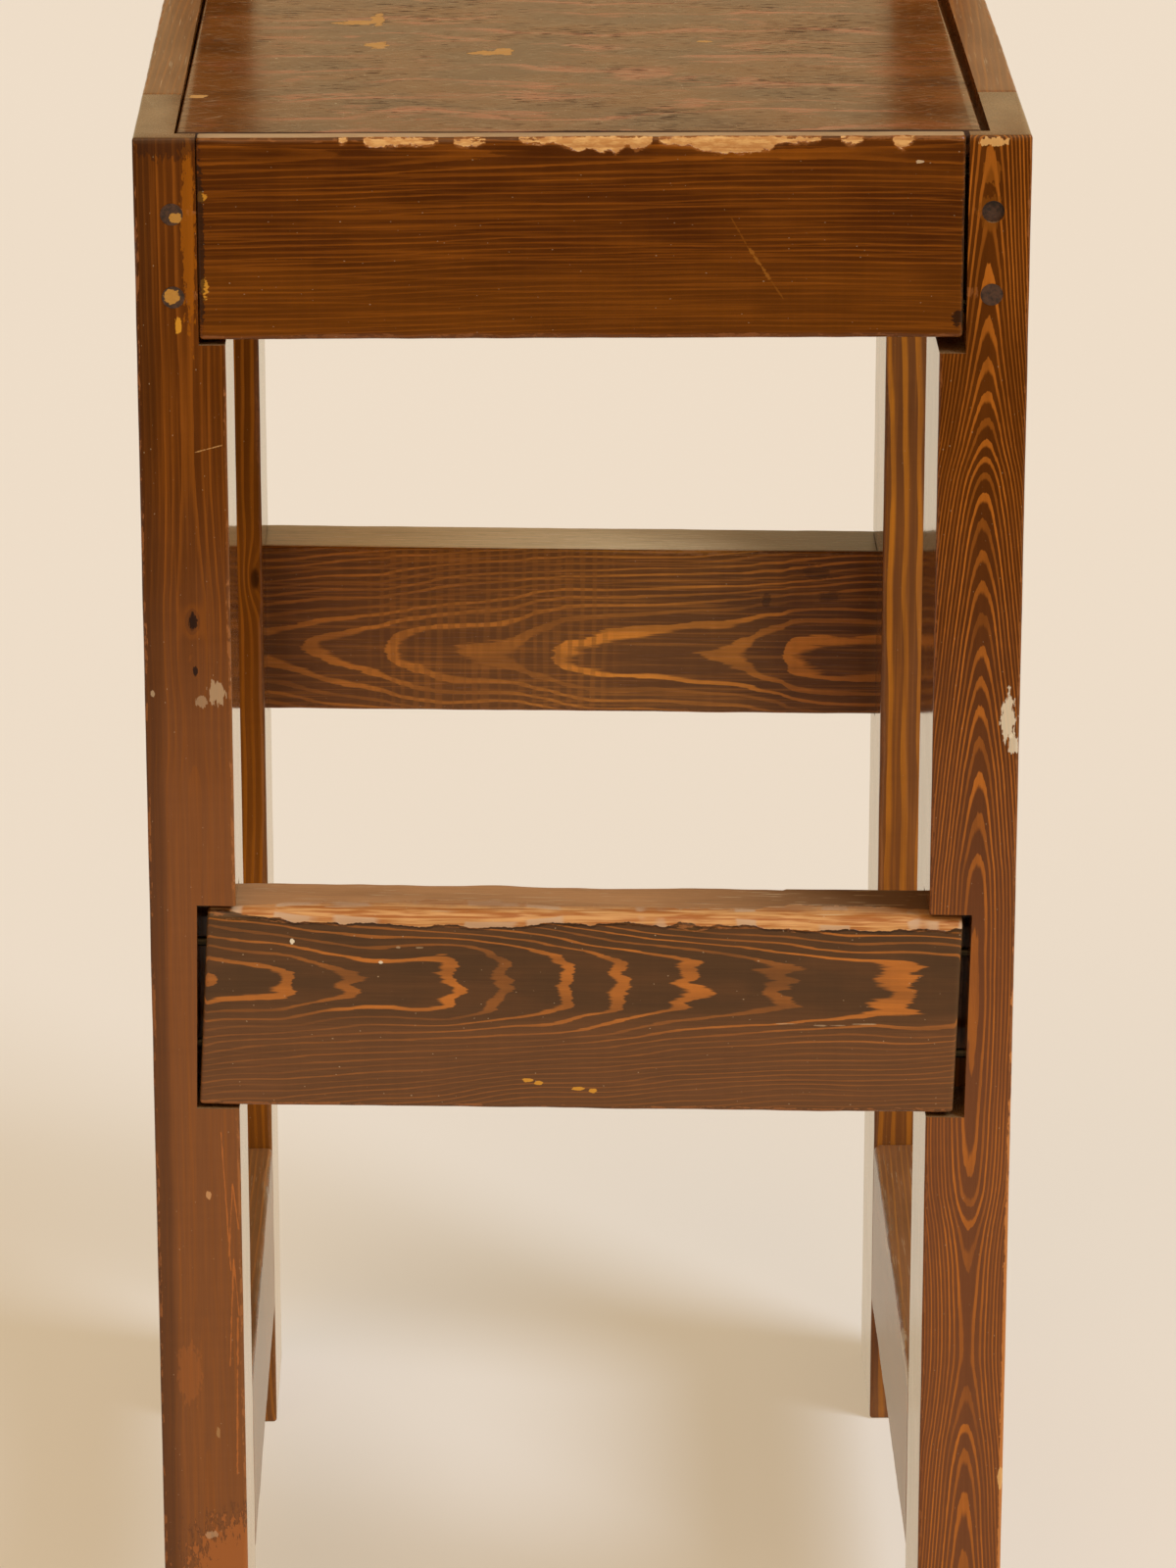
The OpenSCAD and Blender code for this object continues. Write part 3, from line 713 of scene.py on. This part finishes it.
back_rail_wood = wood(
    "back_rail_wood", "X", (0, BACK_RAIL[0].y, BACK_RAIL[0].z),
    arches={-172: 5, -60: 3.4, 70: 1.6, 172: 0}, centre=70, crown=2, flat=22, ring=2.6,
    tones=((82, 42, 11), ORANGE, (112, 62, 20)), dusty=0.5)
foot_wood = wood(
    "foot_wood", "X", (0, FRONT_Y, FOOT_TOP - FOOT_HEIGHT / 2), turn=FOOT_TILT,
    arches={-182: -0.8, -169: 0, -140: 0.62, -130: 1, -112: 1.62, -100: 2, -66: 2.62, -56: 3,
            -43: 3.62, -33: 4, -14: 4.62, -4: 5, 12: 5.62, 22: 6, 40: 6.62, 57: 7, 82: 7.62, 100: 8,
            134: 8.66, 158: 9, 182: 9.3},
    centre=14, crown=(0, 10), flat=(30, 11), turning=(-125, -55), ring=2.5, sway=(6, 110),
    torn=(0.8, 0.22), line=(0.7, 0.78), fading=0.45, contrast=0.9, fibre=0.42,
    tones=((78, 50, 24), (188, 108, 36), (98, 60, 28)), strips=((6, -12, (118, 72, 36), 0.45),),
    specks=0.7, gloss=0.16, dusty=0.9, dust_tone=(166, 116, 70), dust_fade=(20, 140, (102, 66, 34)),
    crest=(FOOT_HEIGHT / 2 / MM, -184, -120),
    spots=((-25, -34, 2.5, 1.2, OCHRE, 0.9), (-20, -35.5, 2, 1, OCHRE, 0.9),
           (-1, -38, 3, 1, OCHRE, 0.9), (5, -39, 2, 1.3, OCHRE, 0.9), (-135, 33, 1.2, 1.3, CREAM, 0.9),
           (-86, 31, 1.2, 0.6, SCUFF, 0.5), (-94, 23.5, 1, 0.8, CREAM, 0.8),
           (-76, 31, 2, 0.5, SCUFF, 0.4), (95, -4.5, 5, 0.3, SCUFF, 0.5),
           (110, -5.2, 3, 0.3, SCUFF, 0.5), (119, -5, 3, 0.3, SCUFF, 0.5),
           (131, -4.2, 5, 0.3, SCUFF, 0.6)))
stretcher_wood = wood(
    "stretcher_wood", "X", (0, BACK_Y - RAIL_DEPTH, STRETCHER_TOP - STRETCHER_HEIGHT / 2),
    turn=STRETCHER_TILT,
    arches={-176: 6.8, -143: 6, -131: 5.62, -112: 5.25, -100: 5, -91: 4.62, -76: 4.2, -68: 4,
            -30: 3.62, -19: 3.2, -10.5: 3, -1: 2.62, 48: 2.2, 62: 2, 90: 1.62, 101: 1.2, 110: 1,
            117: 0.62, 176: 0.2},
    centre=-12, flat=58, sway=(7, 110), torn=(0.5, 0.25), line=(0.6, 0.72),
    tones=((98, 58, 26), (220, 134, 44), (124, 76, 32)), chatter=0.2, threads=0.2, worn=0.5,
    # Its top's pale tone is partly dust and partly painted light: sheen, and light that the seat keeps
    # off. It turns darker towards the right.
    low_tone=((140, 84, 32), -60, 100, 0.4, 0), bars=(-96, 10, 0.4), gloss=0.2, dusty=1,
    dust_tone=(246, 206, 150), dust_fade=(-20, 150, (112, 74, 40)), dust_rough=0,
    spots=((128, 33, 8, 4, GRIME, 0.4), (135, 20, 6, 3, GRIME, 0.4), (102, 18, 2.4, 4, GRIME, 0.5)))
SEAT_SIDE = dict(crown=4, flat=14, ring=2.6, sway=(4, 150), specks=0.8)
side_left_wood = wood(
    "side_wood_left", "Y", (-INNER_X, 0, 0), face="+X", arches={-151: 0, 0: 1, 151: 3}, centre=762,
    tones=((100, 58, 24), ORANGE, (128, 76, 34)), dusty=0.5, **SEAT_SIDE)
side_right_wood = wood(
    "side_wood_right", "Y", (INNER_X, 0, 0), face="-X", arches={-151: 3, 0: 1, 151: 0}, centre=754,
    tones=((104, 54, 22), ORANGE, (134, 70, 32)), dusty=0.4, **SEAT_SIDE)
LOWER_SIDE = dict(centre=150, crown=6, flat=12, ring=3, sway=(5, 150), dusty=0.35, specks=1,
                  gloss=0.18)
lower_left_wood = wood(
    "lower_wood_left", "Y", (-INNER_X, 0, 0), face="+X", arches={-151: 0, 0: 1.4, 151: 2.2},
    tones=((112, 64, 22), ORANGE, (146, 84, 34)), **LOWER_SIDE)
lower_right_wood = wood(
    "lower_wood_right", "Y", (INNER_X, 0, 0), face="-X", arches={-151: 2.6, 0: 1.2, 151: 0},
    tones=((114, 60, 24), ORANGE, (150, 82, 38)), **LOWER_SIDE,
    spots=((-100, 156, 16, 4, CREAM, 0.5), (-150, 155, 30, 5, SCUFF, 0.7),
           (30, 152, 10, 4, SCUFF, 0.6)))
backrest_wood = wood(
    "backrest_wood", "X", (0, POST_FRONT_Y, BACKREST[0].z),
    arches={-172: 0, -90: 2.2, 0: 3.5, 90: 5.2, 172: 8}, centre=40, crown=6, flat=10, ring=2.3,
    torn=(0.6, 0.35), line=(0.6, 0.72), dusty=0.3)


SEAT_SLOW, SEAT_EDGE, SEAT_HAIR, SEAT_CLOUD = (120, 60), (16, 3), (26, 1.4), (70, 40)
SEAT_CRUMBLE, SEAT_WEIGHT, SEAT_DUST, SEAT_RIPPLES = (6, 6), (110, 30), (2, 2.6, 2), (50, 16)
CRACKS, CRACK_CROWDS = (11, 1.1), (80, 50)
ROW_HEIGHT = 30  # from one wave of the veneer's figure to the next
FLAME_LENGTH = 60
FAINT_END = (120, 160)  # where the figure grows faint towards the panel's ends
# How far from the panel's arrises its painted shade reaches, in millimetres
SEAT_GAP_SHADE = (0.5, 2.5)
SCRATCH_LENGTH, SCRATCH_WIDTH, SCRATCH_LEANS = 12, 0.5, (0.5, -0.7)
SEAT_CHIPS = (  # (along, across, half length, half height)
    (-104, 4, 13, 5), (-95, 12, 3.4, 14), (-94, -46, 6, 7), (-41, -64, 10, 5), (-35, -60, 5, 9),
    (-174, -153, 5, 4), (60, -40, 4, 2), (20, 120, 9, 6))


def seat_material():
    """Rotary-cut ply under dark gloss: wavy reddish streaks, short fissures and flaked chips."""
    g = BoardGraph("seat_ply", "X", (0, 0, PANEL[1].z), "+Z")
    ragged = g.lumps(SEAT_EDGE, detail=3)
    hair = g.lumps(SEAT_HAIR, detail=3, roughness=0.65)
    cloud = g.lumps(SEAT_CLOUD)
    crumble = g.lumps(SEAT_CRUMBLE, detail=4, roughness=0.65)

    # The figure
    rows = g.s * (1 / ROW_HEIGHT) + g.lumps(SEAT_SLOW) * 2.6 + (ragged - 0.5) * 0.3
    phase = g.math("FRACT", rows)
    plain = 1 - abs(g.w).rise(*FAINT_END) * 0.7
    thread = phase.rise(0.72, 0.93) * phase.fall(0.96, 1) * plain
    thread *= g.lumps(SEAT_WEIGHT, detail=1).rise(0.38, 0.6)
    flame = g.noise(g.vector(g.w * (1 / FLAME_LENGTH), rows * 1.7, 0))
    flame = (flame + (ragged - 0.5) * 0.35).rise(0.57, 0.66) * plain
    tone = g.mix(cloud.rise(0.35, 0.65), (84, 44, 12), (108, 60, 20))
    tone = g.mix(thread * 0.9, tone, (152, 82, 48))
    tone = g.mix(flame * (hair.rise(0.4, 0.6) * 0.5 + 0.35), tone, (160, 86, 52))
    tone = g.shaded(tone, hair * 0.6 + 0.7)

    # Fissures crowd in some places
    crowd = g.lumps(CRACK_CROWDS, detail=1)
    crack = g.lumps(CRACKS, detail=1, roughness=0.6) + (crowd - 0.5) * 0.5
    crack = crack.rise(0.66, 0.69)
    tone = g.mix(crack * 0.85, tone, (40, 22, 10))

    # Chips down to the bare ply, scratches, dust and a dark rim of painted shade along the gaps round
    # the panel
    chip = 0.0
    for spot in SEAT_CHIPS:
        away = g.away(*spot) + (crumble - 0.5) * 1.8 + (ragged - 0.5) * 1.2
        chip = g.most(chip, away.fall(0.85, 0.92))
    tone = g.mix(chip, tone, g.mix(hair, (196, 146, 78), (176, 118, 56)))
    for lean in SCRATCH_LEANS:
        along, aside = g.w + g.s * lean, g.s - g.w * lean
        scratch = g.vector(along * (1 / SCRATCH_LENGTH), aside * (1 / SCRATCH_WIDTH), lean)
        scratch = g.noise(scratch, detail=0).rise(0.76, 0.79)
        tone = g.mix(scratch * 0.5, tone, SCUFF)
    dust = g.lumps(SEAT_DUST, detail=0)
    tone = g.mix(dust.rise(0.84, 0.86) * 0.6, tone, SCUFF)
    rim = g.attribute("near").fall(*SEAT_GAP_SHADE)
    tone = g.mix(rim * 0.85, tone, (36, 22, 12))

    matt = g.most(g.most(chip, rim), crack * 0.8)
    height = hair * 0.9 - thread * 0.6 - crack * 3 - chip * 4 + g.lumps(SEAT_RIPPLES) * 2.2
    return g.surface(tone, hair * 0.24 + cloud * 0.12 + matt * 0.6 + 0.06, height, mirror=VARNISH)


seat_wood = seat_material()


# Boards
SCREW_SHARES = (0.24, 0.76)
PLUG_RADIUS = BORE - 0.05 * MM
FRONT_RAIL_Y, BACK_RAIL_Y = FRONT_Y + RAIL_DEPTH / 2, BACK_Y - RAIL_DEPTH / 2
FOOT_TURN = (FOOT_TILT, Vector((0, FRONT_RAIL_Y, FOOT_TOP - FOOT_HEIGHT / 2)))
STRETCHER_TURN = (STRETCHER_TILT, Vector((0, BACK_RAIL_Y, STRETCHER_TOP - STRETCHER_HEIGHT / 2)))


def plug_mouths(node, axis="X"):
    """The four places where a group of plugs meets the outer faces."""
    low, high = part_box(node)
    zs = (low.z + PLUG_RADIUS, high.z - PLUG_RADIUS)
    x, y = HALF_WIDTH, (low.y + high.y) / 2
    if axis == "Y":
        x, y = high.x - PLUG_RADIUS, low.y if abs(low.y - FRONT_Y) < MM else high.y
    return [(side * x, y, z) for side in (-1, 1) for z in zs]


def leaning_mouths(tilt, top, height, y):
    """The same for the side plugs of a leaning rail."""
    return [(side * HALF_WIDTH, y, top - height * (1 - share) - side * HALF_WIDTH * math.tan(tilt))
            for side in (-1, 1) for share in SCREW_SHARES]


def panel_rebate():
    x = HALF_WIDTH - SIDE_LIP
    return block((-x, FRONT_Y + FRONT_LIP, PANEL[0].z), (x, BACK_Y - FRONT_LIP, SEAT_TOP + OVER))


def upright(side, node, notches, cutters, plugs, inwards, mouths, material, **shape):
    """A leg or post, right (1) or left (-1), notched at its inner corner and bored for its plugs.

    A notch is (depth, y0, y1, z0, z1) and, where it leans, its turn. inwards is the way along y
    from the plugs into the wood.
    """
    notched = []
    for depth, y0, y1, z0, z1, *turn in notches:
        x0, x1 = sorted((side * (INNER_X - OVER), side * (INNER_X + depth)))
        notched.append(block((x0, y0, z0), (x1, y1, z1), *turn))
    bored = [bore(m, (0, inwards, 0), DEEP_BORE) for m in plug_mouths(plugs, "Y") if m[0] * side > 0]
    bored += [bore(m, (-side, 0, 0), SHALLOW_BORE) for m in mouths if m[0] * side > 0]
    piece(node, "Z", material, "leg_wood", cutters=notched + cutters + bored, **shape)


for side, node, gap, material, seed in (
        (-1, "front_leg_left", FRONT_GAP_LEFT, leg_left_wood, 3),
        (1, "front_leg_right", FRONT_GAP_RIGHT, leg_right_wood, 17)):
    ys = (FRONT_Y - OVER, FRONT_Y + RAIL_DEPTH)
    upright(side, node, (
        (NOTCH, *ys, FRONT_RAIL[0].z - gap, SEAT_TOP + OVER),
        (FOOT_NOTCH, *ys, FOOT_TOP - FOOT_HEIGHT - FOOT_SLACK, FOOT_TOP + FOOT_SLACK, FOOT_TURN)),
        cutters=[panel_rebate()], plugs="leg_front_plugs", inwards=1,
        mouths=plug_mouths("front_rail_plugs")
        + leaning_mouths(FOOT_TILT, FOOT_TOP, FOOT_HEIGHT, FRONT_RAIL_Y),
        material=material, radius=SHARP_ARRIS, seed=seed)
for side, node, material, seed in (
        (-1, "back_post_left", post_left_wood, 23), (1, "back_post_right", post_right_wood, 31)):
    ys = (BACK_Y - RAIL_DEPTH, BACK_Y + OVER)
    upright(side, node, (
        (NOTCH, *ys, BACK_RAIL[0].z - NOTCH_SLACK, SEAT_TOP + NOTCH_SLACK),
        (NOTCH, *ys, STRETCHER_TOP - STRETCHER_HEIGHT - NOTCH_SLACK, STRETCHER_TOP + NOTCH_SLACK,
         STRETCHER_TURN),
        (NOTCH, POST_FRONT_Y - OVER, POST_FRONT_Y + RAIL_DEPTH, BACKREST[0].z - NOTCH_SLACK,
         RIGHT_POST[1].z + OVER)),
        cutters=[], plugs="post_back_plugs", inwards=-1,
        mouths=plug_mouths("back_rail_plugs") + plug_mouths("backrest_plugs")
        + leaning_mouths(STRETCHER_TILT, STRETCHER_TOP, STRETCHER_HEIGHT, BACK_RAIL_Y),
        material=material, radius=POST_ARRIS, seed=seed)

# The front seat rail, with its front top arris chipped: how deep, by place along it, in mm
CHIPPED = {
    -109: 0, -107.5: 1.6, -106: 1.4, -104: 0, -98: 0, -96: 1.6, -92: 3, -86: 2.4, -80: 1.2, -72: 1.6,
    -67: 0.8, -64: 0, -58: 0, -55: 1.3, -50: 1.7, -45: 0.8, -43: 0, -29: 0, -25: 1.2, -16: 1.3,
    -9: 1.8, -6: 3.8, -1: 4.9, 4: 4, 8: 5.8, 12: 4.8, 15: 6.2, 18: 3.4, 20: 2.2, 23: 4.6, 27: 3.6,
    29: 2, 31: 0, 33: 0, 36: 1.3, 44: 1.8, 49: 2.8, 52: 4.8, 57: 5.4, 63: 6.6, 71: 6.8, 78: 6, 83: 5.8,
    86: 3, 90: 1.6, 101: 1.4, 106: 0, 114: 0, 117: 1.8, 120: 2.4, 123: 1.2, 125: 0, 137: 0, 139: 3.4,
    142: 5.4, 144: 3.8, 146: 1.5, 148: 0}
BACK_TOP, FRONT_TOP = 2, 3


def rail_broken(corner, w):
    x = (w + FRONT_RAIL[0].x) / MM
    if corner != FRONT_TOP or not min(CHIPPED) < x < max(CHIPPED):
        return 0
    x0, x1 = max(at for at in CHIPPED if at < x), min(at for at in CHIPPED if at >= x)
    return (CHIPPED[x0] + (CHIPPED[x1] - CHIPPED[x0]) * (x - x0) / (x1 - x0)) * MM


piece("front_seat_rail", "X", front_rail_wood, "rail_wood", cutters=[panel_rebate()],
      radius=SOFT_ARRIS, spacing=CHIP_SPACING, seed=41, broken_at=rail_broken)
piece("back_seat_rail", "X", back_rail_wood, "rail_wood", cutters=[panel_rebate()], seed=43)
for side, upper, lower, seed in (
        ("left", side_left_wood, lower_left_wood, 47),
        ("right", side_right_wood, lower_right_wood, 53)):
    piece("side_seat_rail_" + side, "Y", upper, "side_wood", cutters=[panel_rebate()], seed=seed)
    piece("lower_side_rail_" + side, "Y", lower, "side_wood", radius=WORN_ARRIS, wear=0.7,
          seed=seed + 2)
piece("backrest_rail", "X", backrest_wood, "rail_wood", radius=WORN_ARRIS, seed=61)

# The footrest, whose ends are not sawn square, and whose rear top arris is hewn along one part
LEFT_GAP, LEFT_SLOPE = 5 * MM, 3.8 * MM
RIGHT_GAP, RIGHT_SLOPE = 4 * MM, 1.4 * MM
FOOT_STEP = 275 * MM
FOOT_ARRIS = 2.2 * MM
HEWN_ARRIS, HEWN_SWELL, HEWN_LENGTH = 3.8 * MM, 2.5 * MM, 30 * MM
TROD_ARRIS, TROD_SWELL, TROD_LENGTH = 5.5 * MM, 2.2 * MM, 50 * MM
FINE_TROD_SWELL, FINE_TROD_LENGTH = 1.6 * MM, 14 * MM
foot_x = INNER_X + FOOT_NOTCH
foot_low = Vector((-foot_x, FRONT_Y, FOOT_TOP - FOOT_HEIGHT))
foot_high = Vector((foot_x, FRONT_Y + RAIL_DEPTH, FOOT_TOP))


def foot_end(place):
    up = (place[2] - foot_low.z) / FOOT_HEIGHT
    left = -foot_x + LEFT_GAP - LEFT_SLOPE * (1 - up)
    right = foot_x - RIGHT_GAP - RIGHT_SLOPE * (1 - up)
    share = (place[0] + foot_x) / (2 * foot_x)
    return [left + share * (right - left), place[1], place[2]]


def foot_radius(corner, w):
    if corner == BACK_TOP and w < FOOT_STEP:
        return HEWN_ARRIS + HEWN_SWELL * wobble((w, 0, 0), HEWN_LENGTH, 75)
    if corner != FRONT_TOP:
        return FOOT_ARRIS
    swell = TROD_SWELL * wobble((w, 0, 0), TROD_LENGTH, 71)
    return TROD_ARRIS + swell + FINE_TROD_SWELL * wobble((w, 0, 0), FINE_TROD_LENGTH, 73)


piece("footrest_rail", "X", foot_wood, "foot_wood", box=(foot_low, foot_high), turn=FOOT_TURN,
      spacing=TROD_SPACING, seed=67, radius_at=foot_radius, reshape=foot_end)

# The back stretcher
piece("back_stretcher", "X", stretcher_wood, "rail_wood", turn=STRETCHER_TURN, box=(
    Vector((BACK_RAIL[0].x, BACK_Y - RAIL_DEPTH, STRETCHER_TOP - STRETCHER_HEIGHT)),
    Vector((BACK_RAIL[1].x, BACK_Y, STRETCHER_TOP))), radius=STRETCHER_ARRIS, seed=79)

# The seat panel, which goes round the posts and narrows a little towards the back
PANEL_TAPER = 1.8 * MM
PANEL_GAP = 1 * MM
PANEL_ARRIS, PANEL_FRONT_ARRIS = 2 * MM, 4.5 * MM


def panel_side(place):
    back = (place[1] - PANEL[0].y) / (POST_FRONT_Y - PANEL[0].y)
    side = (place[0] - (PANEL[0].x + PANEL[1].x) / 2) / ((PANEL[1].x - PANEL[0].x) / 2)
    return [place[0] - side * PANEL_TAPER * min(back, 1), place[1], place[2]]


post_x = INNER_X - PANEL_GAP
piece("seat_panel", "X", seat_wood, "seat_ply", cutters=[
    block((x0, POST_FRONT_Y - PANEL_GAP, PANEL[0].z - OVER), (x1, BACK_Y, PANEL[1].z + OVER))
    for x0, x1 in ((-HALF_WIDTH, -post_x), (post_x, HALF_WIDTH))],
    radius_at=lambda corner, w: PANEL_FRONT_ARRIS if corner == FRONT_TOP else PANEL_ARRIS,
    wear=0.3, spacing=PLY_SPACING, seed=83, reshape=panel_side)


# Plugs, dowels and screws. Two plugs are partly filled, each at (x, z, radius) in millimetres.
LOW_PLUG, HIGH_PLUG = plug_mouths("leg_front_plugs", "Y")[:2]  # of the left leg
FILLED = ((HIGH_PLUG[0] / MM + 1.8, HIGH_PLUG[2] / MM - 1.6, 2.8),
          (LOW_PLUG[0] / MM - 0.6, LOW_PLUG[2] / MM + 0.4, 3.6))
FILLER, FILLER_EDGE, FILLER_WAVER = (176, 120, 34), 0.4, 4.5


def small_parts(slot, lump_size, dark, light, rough, rougher, strength, relief, metallic=0,
                even=(), filled=(), **options):
    """Gives a slot's parts their material, with light lumps that are rougher by rougher.

    even says between which lumps the tone changes, and filled where filler is.
    """
    g = Graph(bpy.data.materials.new(slot))
    place = g.scaled(g.coordinate("Object"), PER_MM)
    lump = g.noise(g.scaled(place, [1 / length for length in lump_size]), **options)
    tone = g.mix(lump.rise(*even) if even else lump, dark, light)
    x, _, z = g.parts(place)
    for at_x, at_z, radius in filled:
        away = g.distance(x - at_x, z - at_z) + (lump - 0.5) * FILLER_WAVER
        tone = g.mix(away.fall(radius - FILLER_EDGE, radius), tone, FILLER)
    g.surface(tone, lump * rougher + rough, lump, strength, relief, metallic=metallic)
    for entry in frame["record"]["subparts"]:
        if entry["material_slot"] == slot:
            mesh = frame["nodes"][entry["node"]].data
            mesh.materials.clear()
            mesh.materials.append(g.owner)


small_parts("plug_wood", lump_size=(2.2, 2.2, 2.2), dark=(38, 22, 12), light=(72, 42, 20),
            rough=0.3, rougher=0.3, strength=0.6, relief=0.6 * MM, even=(0.35, 0.65),
            filled=FILLED, detail=4, roughness=0.65)
small_parts("dowel_wood", lump_size=(0.5, 14, 0.5), dark=(176, 134, 82), light=(220, 184, 132),
            rough=0.55, rougher=0.2, strength=0.4, relief=0.3 * MM, detail=3)
small_parts("screw_steel", lump_size=(0.3, 4, 0.3), dark=(58, 50, 40), light=(92, 82, 66),
            rough=0.38, rougher=0.2, strength=0.2, relief=0.2 * MM, metallic=1)


# Floor, world, light and camera
ROOM_PALE_Y, ROOM_DARK_Y = -0.7, -2.6
MIRRORED_GLOW, FLOOR_GLOW = 0.8, 0.5
FLOOR_HALF = 30.0
CAMERA_PLACE = (-0.0375, -3.0566, 1.4591)
CAMERA_PITCH, CAMERA_YAW = math.radians(18.86), math.radians(0.81)
CAMERA_LENS = 149.1


def floor_material():
    """Pale paper, which polished faces see fade into a dark room in front of the stool.

    Part of its paleness only shows to the camera, so that the shadows stay pale.
    """
    g = Graph(bpy.data.materials.new("floor"))
    place = g.coordinate("Object")
    tone = g.mix(g.noise(place, scale=0.8, detail=1), (239, 227, 214), (242, 231, 220))
    gone = g.parts(place)[1].fall(ROOM_DARK_Y, ROOM_PALE_Y)
    glossy = g.add("LightPath", output="Is Glossy Ray")
    g.surface(g.mix(gone * glossy, tone, (30, 24, 18)), rough=0.85, mirror=0.1)
    shown = g.add("LightPath", output="Is Camera Ray") * FLOOR_GLOW
    glow = g.add("Emission", Color=(240, 218, 184))
    blend = g.add("MixShader", glossy * (1 - gone) * MIRRORED_GLOW + shown,
                  Value(g, g.nodes["Principled BSDF"].outputs[0]), glow)
    g.put(g.nodes["Material Output"].inputs["Surface"], blend)
    return g.owner


corners = [(x * FLOOR_HALF, y * FLOOR_HALF, 0) for x, y in ((-1, -1), (1, -1), (1, 1), (-1, 1))]
floor = new_object("floor", corners, [(0, 1, 2, 3)])
floor.data.materials.append(floor_material())

# The room's light, what polished faces see of it, and the backdrop behind the stool
ROOM_LIGHT = (0.20, 0.155, 0.10, 1)
MIRRORED_LIGHT = (0.80, 0.57, 0.29, 1)
BACKDROP = (0.87, 0.76, 0.60, 1)
world = bpy.data.worlds.new("studio")
bpy.context.scene.world = world
sky = Graph(world)
light = sky.mix(sky.add("LightPath", output="Is Glossy Ray"), ROOM_LIGHT, MIRRORED_LIGHT)
light = sky.mix(sky.add("LightPath", output="Is Camera Ray"), light, BACKDROP)
sky.put(sky.nodes["Background"].inputs["Color"], light)


def soft_light(name, direction, angle, strength, colour):
    """Light from a direction, softened by coming from all over an angle in degrees."""
    data = bpy.data.lights.new(name, "SUN")
    data.angle = math.radians(angle)
    data.energy = strength
    data.color = colour
    lamp = add_object(name, data)
    lamp.rotation_euler = (-Vector(direction)).to_track_quat("-Z", "Y").to_euler()


soft_light("key", direction=(0.87, -0.53, 1.0), angle=25, strength=3.4, colour=(0.63, 0.78, 1.0))
soft_light("fill", direction=(-0.7, -2.6, 3.0), angle=60, strength=1.2, colour=(1.0, 0.75, 0.46))

camera = add_object("camera", bpy.data.cameras.new("camera"))
camera.location = CAMERA_PLACE
camera.rotation_euler = (math.pi / 2 - CAMERA_PITCH, 0, -CAMERA_YAW)
camera.data.lens = CAMERA_LENS
bpy.context.scene.camera = camera

bpy.context.scene.view_settings.view_transform = "Standard"
